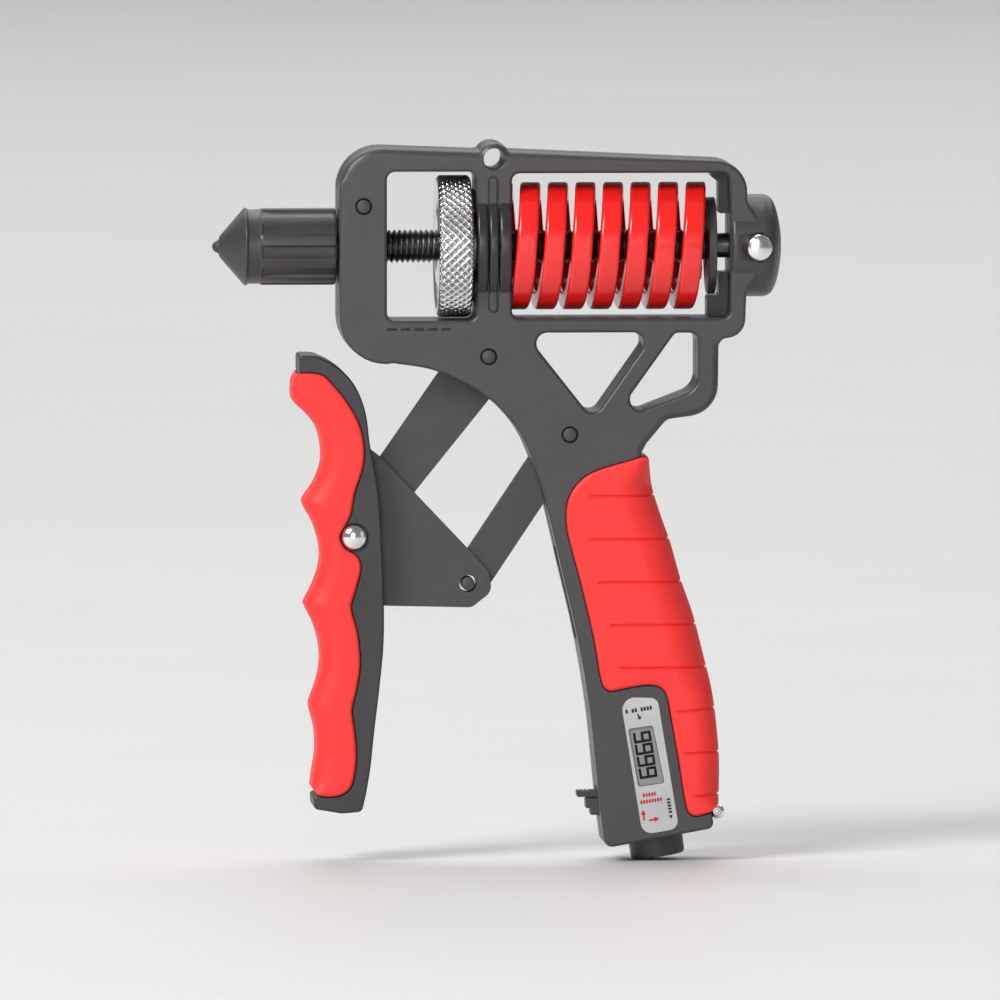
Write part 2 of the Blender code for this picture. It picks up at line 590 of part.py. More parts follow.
def build_upper_link(look):
    x, z = LEVER_PIVOT
    cx, cz = HANDLE_PIVOT
    toward = Vector((x - cx, z - cz)).normalized()
    shoulder = Vector(HANDLE_PIVOT) + toward * 8.5
    blade = tapered_link([(shoulder.x, shoulder.y, 5.4), (x, z, 7.0)])
    link = prism("upper_link", blade, -LINK_HALF, LINK_HALF, look["link"])
    end = tapered_link([(cx, cz, 3.0), (shoulder.x, shoulder.y, 5.39)])
    nose = prism("link_end", end, -LINK_HALF, LINK_HALF)
    arm = prism("fork_arm", [(x - 3.4, z), (x + 3.4, z), (x + 2.0, AXIS_Z - 7), (x - 2.0, AXIS_Z - 7)],
                -LINK_HALF, LINK_HALF)
    fork = prism("fork_block", tapered_link([(x, 134.2, 2.19), (x, AXIS_Z, 2.2)]), -8.0, 8.0)
    fuse(link, [nose, arm, fork])
    boolean(link, [box("fork_slot", (x - 5, x + 5), (-4.9, 4.9), (138.9, 160)),
                   prism("link_bore", circle(x, z, PIN_R + 0.05), -5, 5),
                   prism("link_end_bore", circle(cx, cz, 1.9 + 0.05), -5, 5)])
    return link


def build_lower_link(look):
    blade = tapered_link([(*BRACKET_PIVOT, 4.5), (*LINK_PIVOT, 4.5)])
    link = prism("lower_link", blade, -LINK_HALF, LINK_HALF, look["link"])
    return boolean(link, [prism("lower_link_bore", circle(*LINK_PIVOT, PIN_R + 0.05), -5, 5),
                          prism("lower_link_end_bore", circle(*BRACKET_PIVOT, PIN_R + 0.6), -5, 5)])


def build_front_handle(look):
    made = []
    core = bar("front_handle_core", handle_outline(), HANDLE_HALF, 0.5, look["black_plastic"], steps=1)
    seats = [prism(f"handle_grip_seat_{side}", offset(handle_grip_outline(), GAP),
                   side * (HANDLE_CORE_HALF - GAP), side * 14) for side in (-1, 1)]
    sweep = [(-37.4, 56.5), (-20.0, 56.5), (-20.0, 108.5), (-32.3, 108.5), (-34.6, 98.0), (-37.4, 90.5)]
    slot = prism("handle_slot", sweep, -BRACKET_OUTER - GAP, BRACKET_OUTER + GAP)
    boolean(core, seats + [slot, prism("rivet_way", circle(*HANDLE_PIVOT, 2.2), -20, 20),
                           prism("rivet_front", circle(*HANDLE_PIVOT, 3.6), -20, -9.0),
                           prism("rivet_rear", circle(*HANDLE_PIVOT, 3.6), 9.0, 20)])
    made.append(core)
    grip = bar("front_grip", handle_grip_outline(), HANDLE_GRIP_HALF, 0.8, look["red_rubber"], steps=1)
    inside = offset(handle_outline(), GAP)
    boolean(grip, [prism("handle_grip_core", inside, -HANDLE_CORE_HALF, HANDLE_CORE_HALF)])
    made.append(grip)
    plate = rounded([(-30.6, 97.6, 1.0), (-27.2, 95.0, 1.5), (-1.9, 68.3, 3.2), (-1.3, 63.4, 3.0),
                     (-6.0, 59.7, 2.4), (-37.0, 60.4, 1.0), (-37.0, 90.0, 1.0)])
    for name, side in (("front_bracket", -1), ("rear_bracket", 1)):
        bracket = prism(name, plate, side * BRACKET_INNER, side * BRACKET_OUTER, look["link"])
        made.append(boolean(bracket, [prism(f"{name}_hole", circle(*HANDLE_PIVOT, 1.9 + GAP), -9, 9),
                                      prism(f"{name}_pin_hole", circle(*BRACKET_PIVOT, PIN_R + GAP), -9, 9)]))
    head = [(9.3, 1.9), (9.3, 3.15), (9.6, 3.15), (10.5, 2.5), (11.1, 1.4), (11.3, 0)]
    rivet = [(-y, r) for y, r in reversed(head)] + head
    at = (HANDLE_PIVOT[0], 0, HANDLE_PIVOT[1])
    made.append(lathe("handle_rivet", rivet, at, "Y", look["silver"], steps=20))
    made.append(pin("bracket_pin", BRACKET_PIVOT, BRACKET_OUTER - 0.05, PIN_R, look["link"]))
    return made


# ---------------------------------------------------------------- assembly

def main():
    for obj in list(bpy.data.objects):
        bpy.data.objects.remove(obj)
    look = looks()
    build_shells(look["shell"])
    build_inserts(look["shell"])
    build_fixed(look)
    build_counter(look)
    nut_at = pivot("nut_axis", NUT_X[0], 0, AXIS_Z)
    rod_at = pivot("rod_axis", 0, 0, AXIS_Z, nut_at)
    nut, rod, seat, washer = build_screw(look)
    build_spring(look)
    for obj, parent in ((nut, nut_at), (washer, nut_at), (rod, rod_at), (seat, rod_at)):
        hang(obj, parent)
    lever_at = pivot("lever_axis", LEVER_PIVOT[0], 0, LEVER_PIVOT[1])
    handle_at = pivot("handle_axis", HANDLE_PIVOT[0], 0, HANDLE_PIVOT[1], lever_at)
    link_at = pivot("lower_link_axis", LINK_PIVOT[0], 0, LINK_PIVOT[1])
    hang(build_upper_link(look), lever_at)
    hang(build_lower_link(look), link_at)
    for obj in build_front_handle(look):
        hang(obj, handle_at)


main()
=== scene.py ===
"""Looks of the hand dynamometer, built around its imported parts.

The frame stands in the XZ plane, +X towards the palm, +Z up, and the counter faces -Y. Shapes are drawn in
millimetres and scaled to metres when their mesh is made.
"""

import math

import bmesh
import bpy
import mathutils.geometry
import numpy as np
from mathutils import Matrix, Vector


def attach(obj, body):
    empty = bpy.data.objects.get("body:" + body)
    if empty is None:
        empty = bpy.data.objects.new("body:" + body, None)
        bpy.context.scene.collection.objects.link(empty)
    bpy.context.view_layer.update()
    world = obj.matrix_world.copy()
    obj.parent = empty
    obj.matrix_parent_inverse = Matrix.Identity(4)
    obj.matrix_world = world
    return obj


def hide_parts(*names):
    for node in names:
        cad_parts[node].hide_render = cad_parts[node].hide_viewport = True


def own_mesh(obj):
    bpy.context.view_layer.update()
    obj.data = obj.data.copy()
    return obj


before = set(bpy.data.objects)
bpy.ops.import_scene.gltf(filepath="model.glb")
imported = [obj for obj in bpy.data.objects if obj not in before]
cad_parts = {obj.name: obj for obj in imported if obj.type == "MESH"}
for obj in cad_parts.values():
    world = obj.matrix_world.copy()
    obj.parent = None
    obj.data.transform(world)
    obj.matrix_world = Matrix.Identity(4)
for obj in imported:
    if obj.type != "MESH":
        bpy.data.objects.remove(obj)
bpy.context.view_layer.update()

MM = 0.001
GAP = 0.3
HALF = 10.3
PARTING = 0.15
AXIS_Z = 144.7
LEVER_PIVOT = (-2.4, 119.1)
LINK_PIVOT = (16.7, 100.7)
HANDLE_PIVOT = (-34.0, 76.7)
BRACKET_PIVOT = (-6.9, 65.3)
DOWEL = (-31.8, 154.5)
PINS = (DOWEL, LEVER_PIVOT, LINK_PIVOT)
PIN_R = 1.6
PIN_RING = 0.42
PIN_RING_DEPTH = 1.2
BORE_PLAY = 0.05
CROSS_PIN_X = 61.2
RIVET_R = 1.9
RIVET_HEAD_R = 3.15
KEY_X = -1.3
KEY_Z = (129.7, 161.3)
KEY_FLOOR = 9.8
BEAD_TOP_Z = 157
LINK_HALF = 1.5
BRACKET_INNER = 1.8
BRACKET_OUTER = 3.4
ROD_R = 4.0
THREAD_PITCH = 1.25
THREAD_DEPTH = 0.62
NUT_R = 16.7
NUT_X = (-14.2, -6.3)
DIVIDER_X = (-5.3, 2.9)
BULGE_R = 14.7
BOSS_R = 12.05
SPRING_R = 15.05
SPRING_X = (3.4, 49.1)
SPRING_PITCH = 6.5
FRONT_STRAND = 6.35
FRONT_STRANDS = 7
WIRE_WIDTH = 4.8
WIRE_DEPTH = 4.2
GRIP_HALF = 10.9
GRIP_Z = (11.0, 95.3)
GRIP_CORE_HALF = 8.6
GROOVE_WIDTH = 0.38
GROOVE_DEPTH = 0.45
HANDLE_HALF = 9.8
HANDLE_GRIP_HALF = 10.4
HANDLE_GRIP_Z = (15.6, 115.4)
HANDLE_CORE_HALF = 8.0
FOOT_TILT = math.radians(8.4)
FOOT_R = 6.0
FOOT_X = 38.1
RESET_Z = 11.2


# ---------------------------------------------------------------- outlines

def corner_arc(before, corner, after, radius):
    """Points of a fillet at a corner between two straight edges."""
    here = Vector(corner)
    to_before = (Vector(before) - here).normalized()
    to_after = (Vector(after) - here).normalized()
    half = to_before.angle(to_after) / 2
    centre = here + (to_before + to_after).normalized() * (radius / math.sin(half))
    start = here + to_before * (radius / math.tan(half)) - centre
    sweep = math.pi - 2 * half
    if to_before.cross(to_after) > 0:
        sweep = -sweep
    steps = max(3, round(abs(sweep) / math.radians(9)))
    turned = []
    for i in range(steps + 1):
        a = sweep * i / steps
        turned.append((centre.x + start.x * math.cos(a) - start.y * math.sin(a),
                       centre.y + start.x * math.sin(a) + start.y * math.cos(a)))
    return turned


def rounded(corners):
    """A closed outline from (x, z, radius) corners."""
    points = []
    for i, (x, z, radius) in enumerate(corners):
        if radius:
            after = corners[(i + 1) % len(corners)]
            points += corner_arc(corners[i - 1][:2], (x, z), after[:2], radius)
        else:
            points.append((x, z))
    return points


def curve(points, steps=6):
    """A smooth curve through points, both ends included (Catmull-Rom)."""
    ends = [points[0]] + list(points) + [points[-1]]
    out = []
    for p0, p1, p2, p3 in zip(ends, ends[1:], ends[2:], ends[3:]):
        for k in range(steps):
            t = k / steps
            out.append(tuple(
                0.5 * (2 * b + (c - a) * t + (2 * a - 5 * b + 4 * c - d) * t * t
                       + (3 * b - a - 3 * c + d) * t * t * t)
                for a, b, c, d in zip(p0, p1, p2, p3)))
    out.append(tuple(points[-1]))
    return out


def angles(steps):
    """Equal steps round a full turn."""
    return [2 * math.pi * i / steps for i in range(steps)]


def circle(x, z, radius, steps=48):
    return [(x + radius * math.cos(a), z + radius * math.sin(a)) for a in angles(steps)]


def hoop(x, radius, steps):
    """Points on a circle round the screw's axis."""
    return [(x, radius * math.cos(a), AXIS_Z + radius * math.sin(a)) for a in angles(steps)]


def rectangle(x0, x1, z0, z1, radius):
    return rounded([(x0, z0, radius), (x1, z0, radius), (x1, z1, radius), (x0, z1, radius)])


def racetrack(x, low, high, radius):
    """A slot outline standing on end."""
    return rectangle(x - radius, x + radius, low, high, radius * 0.999)


def area(points):
    return sum(a[0] * b[1] - b[0] * a[1] for a, b in zip(points, points[1:] + points[:1])) / 2


def offset(points, amount):
    """The outline moved outwards by amount, or by amount(x, z); points run anticlockwise."""
    if area(points) < 0:
        points = points[::-1]
    moved = []
    for i, (x, z) in enumerate(points):
        here = Vector((x, z))
        a = (here - Vector(points[i - 1])).normalized()
        b = (Vector(points[(i + 1) % len(points)]) - here).normalized()
        normal = Vector((a.y + b.y, -a.x - b.x)).normalized()
        stretch = 1 / max(0.5, normal.dot(Vector((a.y, -a.x))))
        much = amount(x, z) if callable(amount) else amount
        moved.append((x + normal.x * much * stretch, z + normal.y * much * stretch))
    return moved


# ---------------------------------------------------------------- meshes

def linked(name, data):
    """An object in the scene for a mesh, a light or a camera."""
    made = bpy.data.objects.new(name, data)
    bpy.context.scene.collection.objects.link(made)
    return made


def meshed(name, bm):
    """An object from a bmesh in metres."""
    mesh = bpy.data.meshes.new(name)
    bm.to_mesh(mesh)
    bm.free()
    return linked(name, mesh)


def add(name, bm):
    """An object from a bmesh in millimetres."""
    bmesh.ops.recalc_face_normals(bm, faces=bm.faces)
    bm.transform(Matrix.Scale(MM, 4))
    return meshed(name, bm)


def band(bm, low, high):
    """Faces between two rings of vertices."""
    for i in range(len(low)):
        j = (i + 1) % len(low)
        bm.faces.new((low[i], low[j], high[j], high[i]))


def skinned(name, rings):
    """A closed skin over rings of equal length."""
    bm = bmesh.new()
    made = [[bm.verts.new(p) for p in ring] for ring in rings]
    for low, high in zip(made, made[1:]):
        band(bm, low, high)
    bm.faces.new(made[0][::-1])
    bm.faces.new(made[-1])
    return add(name, bm)


def prism(name, points, y0, y1):
    """The outline in XZ pushed from y0 to y1."""
    return skinned(name, [[(x, y, z) for x, z in points] for y in (y0, y1)])


def hole(at, radius, half):
    """A round cutter right through at (x, z)."""
    return prism("hole", circle(*at, radius), -half, half)


def box(name, x, y, z):
    return prism(name, [(x[0], z[0]), (x[1], z[0]), (x[1], z[1]), (x[0], z[1])], *y)


def eased(points, half, radius, steps):
    """Rings from a full outline at the radius' foot to the rounded rim at y = half."""
    if area(points) < 0:
        points = points[::-1]
    reach = radius if callable(radius) else lambda x, z: radius
    rings = []
    for k in range(steps + 1):
        a = math.pi / 2 * k / steps
        flat = offset(points, lambda x, z: -reach(x, z) * (1 - math.cos(a)))
        rings.append([(fx, half - reach(x, z) * (1 - math.sin(a)), fz)
                      for (fx, fz), (x, z) in zip(flat, points)])
    return rings


def bar(name, points, half, radius, steps=5):
    """A piece right across the parting plane, with both rims rounded."""
    rim = eased(points, half, radius, steps)
    return skinned(name, [[(x, -y, z) for x, y, z in ring] for ring in reversed(rim)] + rim)


def plate(name, points, y0, y1, radius, steps=2):
    """A flat piece from y0 to y1 with both rims rounded."""
    middle = (y0 + y1) / 2
    made = bar(name, points, abs(y1 - y0) / 2, radius, steps)
    made.data.transform(Matrix.Translation((0, middle * MM, 0)))
    return made


def lathe(name, profile, centre=(0, 0, AXIS_Z), axis="X", steps=96, closed=False):
    """A turned piece: profile points are (along the axis, radius), and closed makes a ring of them."""
    bm = bmesh.new()
    rings = []
    for along, radius in profile:
        turn = angles(steps) if radius else [0]
        rings.append([bm.verts.new((along, radius * math.cos(a), radius * math.sin(a))) for a in turn])
    if closed:
        rings.append(rings[0])
    for low, high in zip(rings, rings[1:]):
        for i in range(steps):
            j = (i + 1) % steps
            corners = [low[i % len(low)], low[j % len(low)], high[j % len(high)], high[i % len(high)]]
            bm.faces.new(list(dict.fromkeys(corners)))
    if axis == "Y":
        bm.transform(Matrix.Rotation(math.pi / 2, 4, "Z"))
    if axis == "Z":
        bm.transform(Matrix.Rotation(-math.pi / 2, 4, "Y"))
    bm.transform(Matrix.Translation(centre))
    return add(name, bm)


def soft_corners(profile, radius, steps=4):
    """A turned profile with each inner corner rounded."""
    out = [profile[0]]
    for before, here, after in zip(profile, profile[1:], profile[2:]):
        corner = Vector(here)
        back, ahead = Vector(before) - corner, Vector(after) - corner
        if abs(back.normalized().dot(ahead.normalized())) > 0.999:
            out.append(here)
            continue
        reach = min(radius, back.length * 0.45, ahead.length * 0.45)
        start = corner + back.normalized() * reach
        end = corner + ahead.normalized() * reach
        for k in range(steps + 1):
            t = k / steps
            out.append(tuple(start * (1 - t) ** 2 + corner * 2 * t * (1 - t) + end * t * t))
    out.append(profile[-1])
    return out


def baked(obj):
    """The object with its modifiers applied."""
    bpy.context.view_layer.update()
    graph = bpy.context.evaluated_depsgraph_get()
    mesh = bpy.data.meshes.new_from_object(obj.evaluated_get(graph))
    obj.modifiers.clear()
    old = obj.data
    obj.data = mesh
    bpy.data.meshes.remove(old)
    return obj


def boolean(target, others, operation="DIFFERENCE"):
    """target cut by, or joined with, the others, which are then removed."""
    for other in others:
        step = target.modifiers.new(other.name, "BOOLEAN")
        step.operation = operation
        step.object = other
        step.solver = "EXACT"
    baked(target)
    for other in others:
        bpy.data.objects.remove(other)
    return target


def joined(name, objects):
    """One object out of several."""
    bm = bmesh.new()
    for obj in objects:
        bm.from_mesh(obj.data)
        bpy.data.objects.remove(obj)
    return meshed(name, bm)


def bevelled(obj, width, segments=2):
    """Small rounded edges on every corner sharper than 30 degrees."""
    step = obj.modifiers.new("edges", "BEVEL")
    step.width = width * MM
    step.segments = segments
    step.limit_method = "ANGLE"
    step.angle_limit = math.radians(30)
    return baked(obj)


def piece(obj, body, slot, look, *nodes, angle=32, weighted=True):
    """obj rides on a body, wears a look and stands for these CAD nodes; weighted keeps large faces flat."""
    obj.data.materials.clear()
    obj.data.materials.append(looks[look])
    obj.data.shade_smooth()
    obj.data.set_sharp_from_angle(angle=math.radians(angle))
    if weighted:
        step = obj.modifiers.new("normals", "WEIGHTED_NORMAL")
        step.keep_sharp = True
        step.weight = 80
    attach(obj, body)
    if nodes:
        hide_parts(*nodes)
    return obj


# ---------------------------------------------------------------- materials

class Look:
    """A material being put together: a Principled shader and helpers for procedural detail."""

    def __init__(self, name, roughness=0.5, metallic=0.0):
        self.made = bpy.data.materials.new(name)
        self.made.use_nodes = True
        self.nodes = self.made.node_tree.nodes
        self.links = self.made.node_tree.links
        self.shader = self.nodes["Principled BSDF"]
        self.place = self.nodes.new("ShaderNodeTexCoord").outputs["Object"]
        self.set(Roughness=roughness, Metallic=metallic)

    def fill(self, node, inputs):
        """Gives a node's inputs a value or a link; _ stands for a space in their names."""
        for name, value in inputs.items():
            socket = node.inputs[name.replace("_", " ")]
            if isinstance(value, bpy.types.NodeSocket):
                self.links.new(value, socket)
            else:
                socket.default_value = value

    def set(self, **inputs):
        self.fill(self.shader, inputs)

    def node(self, kind, output, settings=(), **inputs):
        made = self.nodes.new("ShaderNode" + kind)
        for name, value in settings:
            setattr(made, name, value)
        self.fill(made, inputs)
        return made.outputs[output]

    def stretched(self, scale):
        return self.node("Mapping", "Vector", Scale=scale, Vector=self.place)

    def noise(self, scale, detail=4, roughness=0.55, place=None):
        return self.node("TexNoise", "Fac", Scale=scale, Detail=detail, Roughness=roughness,
                         Vector=place or self.place)

    def ramp(self, value, low, high, start=0.3, end=0.7):
        """Two colours, or two greys, blended by value."""
        made = self.nodes.new("ShaderNodeValToRGB")
        for mark, position, colour in zip(made.color_ramp.elements, (start, end), (low, high)):
            mark.position = position
            mark.color = (*colour, 1)
        self.fill(made, {"Fac": value})
        return made.outputs["Color"]

    def tint(self, scale, detail, colour, spread):
        """Clouds of a darker and a lighter version of a colour."""
        low = [c * (1 - spread) for c in colour]
        high = [min(1, c * (1 + spread)) for c in colour]
        return self.ramp(self.noise(scale, detail), low, high)

    def span(self, value, low, high):
        return self.node("MapRange", "Result", From_Min=0.25, From_Max=0.75, To_Min=low, To_Max=high,
                         Value=value)

    def times(self, a, b):
        settings = (("data_type", "RGBA"), ("blend_type", "MULTIPLY"))
        return self.node("Mix", "Result", settings, Factor=1, A=a, B=b)

    def bump(self, height, depth, strength):
        """Raises the surface by depth millimetres where height is 1."""
        inputs = {"Strength": strength, "Distance": depth * MM, "Height": height}
        last = self.shader.inputs["Normal"]
        if last.is_linked:
            inputs["Normal"] = last.links[0].from_socket
        self.set(Normal=self.node("Bump", "Normal", **inputs))


def moulded(name, colour, roughness, grain=0.014, spread=0.12, grain_scale=2000):
    """Moulded or painted plastic: fine grain, faint clouding and uneven gloss."""
    look = Look(name)
    look.set(Base_Color=look.tint(70, 5, colour, spread),
             Roughness=look.span(look.noise(240, 3), roughness - 0.06, roughness + 0.06))
    look.bump(look.noise(grain_scale, 2, 0.5), grain, 0.6)
    return look


def shell_look():
    look = moulded("satin_shell", (0.050, 0.045, 0.047), 0.38, 0.010, 0.08, 2600)
    marks = look.noise(60, 8, 0.7, look.stretched((1.0, 6.0, 14.0)))
    look.bump(look.ramp(marks, (0, 0, 0), (1, 1, 1), 0.60, 0.72), 0.004, 0.3)
    return look.made


def link_look():
    look = moulded("painted_plate", (0.052, 0.048, 0.049), 0.42, 0.008, 0.06, 1800)
    look.set(Metallic=0.15)
    return look.made


def rubber_look():
    look = Look("soft_rubber")
    dust = look.ramp(look.noise(900, 4, 0.7), (0.93, 0.93, 0.93), (1, 1, 1), 0.3, 0.6)
    look.set(Base_Color=look.times(look.tint(55, 5, (0.93, 0.028, 0.025), 0.05), dust),
             Roughness=look.span(look.noise(300, 3), 0.46, 0.60), Sheen_Weight=0.02, Sheen_Roughness=0.5)
    look.bump(look.node("TexVoronoi", "Distance", Scale=1500, Vector=look.place), 0.018, 0.35)
    look.bump(look.noise(3800, 2), 0.008, 0.5)
    return look.made


def enamel_look():
    look = Look("red_enamel", 0.22)
    look.set(Base_Color=look.tint(120, 4, (0.86, 0.014, 0.012), 0.07),
             Roughness=look.span(look.noise(500, 3), 0.16, 0.28), Coat_Weight=0.6, Coat_Roughness=0.08)
    look.bump(look.noise(380, 2), 0.02, 0.35)
    return look.made


def metal_look(name, colour, roughness, stretch=(1.0, 1.0, 1.0)):
    """Metal with fine marks along one direction."""
    look = Look(name, roughness, 1.0)
    marks = look.noise(420, 5, 0.6, look.stretched(stretch))
    look.set(Base_Color=look.tint(160, 3, colour, 0.06),
             Roughness=look.span(marks, roughness * 0.7, roughness * 1.4))
    look.bump(marks, 0.004, 0.6)
    return look.made


def label_look():
    look = Look("printed_plate", 0.32)
    look.set(Base_Color=look.ramp(look.noise(90, 3), (0.44, 0.435, 0.44), (0.51, 0.505, 0.51)),
             Coat_Weight=0.3, Coat_Roughness=0.2)
    look.bump(look.noise(1500, 2), 0.004, 0.4)
    return look.made


def display_look():
    """A grey liquid crystal with its faint pixel grid."""
    look = Look("liquid_crystal", 0.18)
    turned = look.node("Mapping", "Vector", Rotation=(math.pi / 2, 0, 0), Vector=look.place)
    grid = look.node("TexBrick", "Color", (("offset", 0),), Scale=1, Brick_Width=0.00045, Row_Height=0.00045,
                     Mortar_Size=0.00004, Color1=(0.25, 0.25, 0.255, 1), Color2=(0.27, 0.27, 0.275, 1),
                     Mortar=(0.22, 0.22, 0.225, 1), Vector=turned)
    clouds = look.ramp(look.noise(110, 2), (0.9,) * 3, (1, 1, 1))
    look.set(Base_Color=look.times(grid, clouds), Coat_Weight=0.5, Coat_Roughness=0.06)
    return look.made


def ink_look(name, colour):
    look = Look(name, 0.4)
    look.set(Base_Color=look.tint(700, 3, colour, 0.15), Specular_IOR_Level=0.15)
    return look.made


def board_look():
    """Green laminate with copper tracks under the lacquer."""
    look = Look("circuit_laminate", 0.35)
    tracks = look.noise(260, 0, place=look.stretched((1, 1, 3)))
    look.set(Base_Color=look.ramp(tracks, (0.012, 0.13, 0.045), (0.03, 0.22, 0.08), 0.48, 0.52))
    look.bump(tracks, 0.03, 0.4)
    return look.made


def floor_look():
    look = Look("pale_floor", 0.55)
    look.set(Base_Color=look.ramp(look.noise(6, 4), (0.62, 0.62, 0.61), (0.64, 0.64, 0.63)))
    look.bump(look.noise(300, 3), 0.02, 0.3)
    return look.made


# ---------------------------------------------------------------- the frame

FRONT_EDGE = [
    (-24.8, 117.6), (-16.2, 116.2), (-9.2, 113.4), (-2.0, 108.9), (4.2, 102.2), (8.0, 94.4), (11.4, 83.4),
    (14.7, 69.3), (17.7, 56.8), (20.0, 45.0), (21.7, 33.5), (22.9, 21.5), (23.8, 12.5)]
GRIP_BACK = [
    (35.5, 94.0), (36.4, 88.4), (38.1, 82.6), (40.9, 74.6), (43.2, 66.4), (46.0, 58.4), (48.5, 48.8),
    (50.4, 40.6), (51.6, 31.5), (52.2, 23.0), (52.0, 13.6)]
CORE_BACK = [
    (33.6, 95.5), (32.3, 92.0), (32.7, 87.0), (35.3, 78.0), (38.8, 66.4), (41.8, 57.6), (44.2, 48.8),
    (46.0, 40.6), (47.2, 31.5), (47.8, 23.0), (47.8, 14.5)]
GRIP_FRONT = [
    (29.8, 94.2), (26.8, 93.4), (21.3, 91.4), (17.8, 88.2), (16.1, 84.4), (16.0, 79.0), (17.5, 72.6),
    (19.3, 65.9), (21.0, 58.9), (22.6, 51.6), (23.6, 45.4), (24.1, 43.0)]
GRIP_LOW = [
    (24.5, 41.7), (25.3, 40.7), (26.6, 40.3), (30.6, 41.1), (34.5, 41.7), (37.1, 41.5), (38.9, 40.4),
    (39.9, 38.0), (41.1, 31.2), (42.3, 24.6), (43.3, 18.0), (44.2, 13.0), (45.2, 11.2), (46.8, 10.8),
    (49.8, 11.6)]
GROOVES = [
    ((21.9, 86.2), (40.0, 86.2)), ((21.9, 76.0), (44.0, 76.0)), ((24.0, 65.9), (46.0, 65.9)),
    ((26.7, 55.8), (49.0, 55.8)), ((29.0, 45.7), (52.0, 45.7)), ((43.0, 35.4), (53.0, 36.3)),
    ((44.6, 25.5), (54.0, 25.9)), ((46.5, 15.4), (54.0, 16.0))]
TAB = (-1.1, 165.6)
LABEL_CORNERS = [(28.5, 38.9, 3.0), (37.4, 38.7, 2.0), (42.5, 7.8, 2.2), (33.8, 6.3, 2.6)]
LCD_CORNERS = [(30.4, 31.4, 0.6), (36.2, 32.2, 0.6), (39.0, 18.6, 0.6), (32.8, 17.7, 0.6)]


def frame_outline():
    """The shells' outline: spring housing, rear boss flank, narrow handle core under the grip."""
    top = rounded([(-24.8, 117.4, 0), (-37.5, 117.4, 11.0), (-37.5, 168.7, 10.0), (-5.4, 167.5, 0)])[1:]
    tab = [(TAB[0] + 3.9 * math.cos(a), TAB[1] + 3.9 * math.sin(a))
           for a in (math.radians(148 - 5.8 * k) for k in range(21))]
    rear = rounded([(2.8, 167.4, 0), (58.9, 164.8, 7.5), (58.4, 155.5, 3.0), (61.6, 150.0, 1.5),
                    (61.6, 139.4, 1.5), (58.3, 134.6, 3.0), (57.9, 123.6, 4.5), (51.8, 123.2, 2.2),
                    (51.6, 105.8, 7.5), (39.6, 104.2, 3.0), (34.9, 98.6, 3.0), (33.8, 96.6, 0)])
    bottom = rounded([(47.8, 14.0, 0), (49.9, 12.9, 0.8), (50.8, 7.9, 1.6), (25.0, 3.2, 2.0),
                      (23.9, 11.5, 0)])
    return top + tab + rear + curve(CORE_BACK)[1:] + bottom[1:-1] + curve(FRONT_EDGE[::-1])


def grip_outline(steps=4):
    top = [(35.2, 95.3), (33.4, 95.3)]
    return top + curve(GRIP_FRONT, steps) + curve(GRIP_LOW, steps) + curve(GRIP_BACK[::-1], steps)


def frame_round(x, z):
    """The shells' rim radius: largest on the upper edge towards the rod cover."""
    if z > 160:
        return 1.9 if x < 0 else 1.9 - min(1.0, x / 40)
    if 96 < z < 122 and x > 30:
        return 1.6
    return 0.7


def rounded_cutter(name, points, radius, over=0.4):
    """A cutter right through both shells whose mouths open out in a quarter round."""
    depths = []
    for degrees in (78, 60, 40, 20, 0):
        a = math.radians(degrees)
        depths.append((radius * (1 - math.sin(a)), radius * (1 - math.cos(a))))
    mouth = [(-over, depths[0][1] + over * 4)] + depths
    rings = [[(x, -HALF + d, z) for x, z in offset(points, grow)] for d, grow in mouth]
    rings += [[(x, HALF - d, z) for x, z in offset(points, grow)] for d, grow in reversed(mouth)]
    return skinned(name, rings)


def window_cutters():
    windows = [rectangle(-26.3, -5.3, 127.6, 162.6, 1.9), rectangle(3.1, 54.5, 128.0, 162.2, 1.9),
               rounded([(6.1, 124.7, 2.6), (22.2, 104.3, 2.6), (36.5, 124.7, 2.6)]),
               rounded([(26.3, 103.4, 2.6), (46.9, 111.4, 4.6), (46.9, 124.6, 2.1), (41.5, 124.6, 1.9)])]
    cutters = [rounded_cutter("window", window, 0.8) for window in windows]
    return cutters + [rounded_cutter("tab_hole", circle(*TAB, 2.5), 0.4)]


def inner_cutters():
    """The space the two shells close around: links, fork, rod, guide post, counter and pins."""
    x, z = LEVER_PIVOT
    links = [(x - 11.5, z + 1.0), (x - 11.5, z + 12.6), (x + 4.6, z + 12.6), (x + 8.0, z + 1.0), (8.6, 104.5),
             (18.0, 107.0), (22.0, 101.0), (21.2, 93.0), (22.4, 70.0), (22.4, 54.0), (14.0, 54.0),
             (-4.0, 104.0), (-19.0, 109.0)]
    counter = [(29.0, 10.5), (40.6, 10.5), (40.6, 37.0), (29.0, 37.0)]
    return [
        prism("link_slot", links, -2.1, 2.1),
        prism("bracket_slot", [(10.0, 74.0), (23.2, 74.0), (23.2, 54.0), (10.0, 48.0)], -5.4, 5.4),
        box("fork_space", (-9.0, 0.9), (-8.9, 8.9), (131.4, 158.0)),
        lathe("rod_way", [(-40, 0), (-40, 4.5), (6, 4.5), (6, 0)]),
        lathe("post_way", [(52, 0), (52, 3.3), (56, 3.3), (56, 6.9), (64.6, 6.9), (64.6, 0)]),
        lathe("cross_pin_way", [(-14, 0), (-14, 3.3), (14, 3.3), (14, 0)], (CROSS_PIN_X, 0, AXIS_Z), "Y"),
        prism("counter_space", counter, -8.4, 8.4),
        box("trigger_space", (20.0, 30.0), (-3.4, 3.4), (10.2, 17.6)),
        box("reset_space", (39.0, 55.0), (-2.0, 2.0), (RESET_Z - 2.0, RESET_Z + 2.0)),
    ]


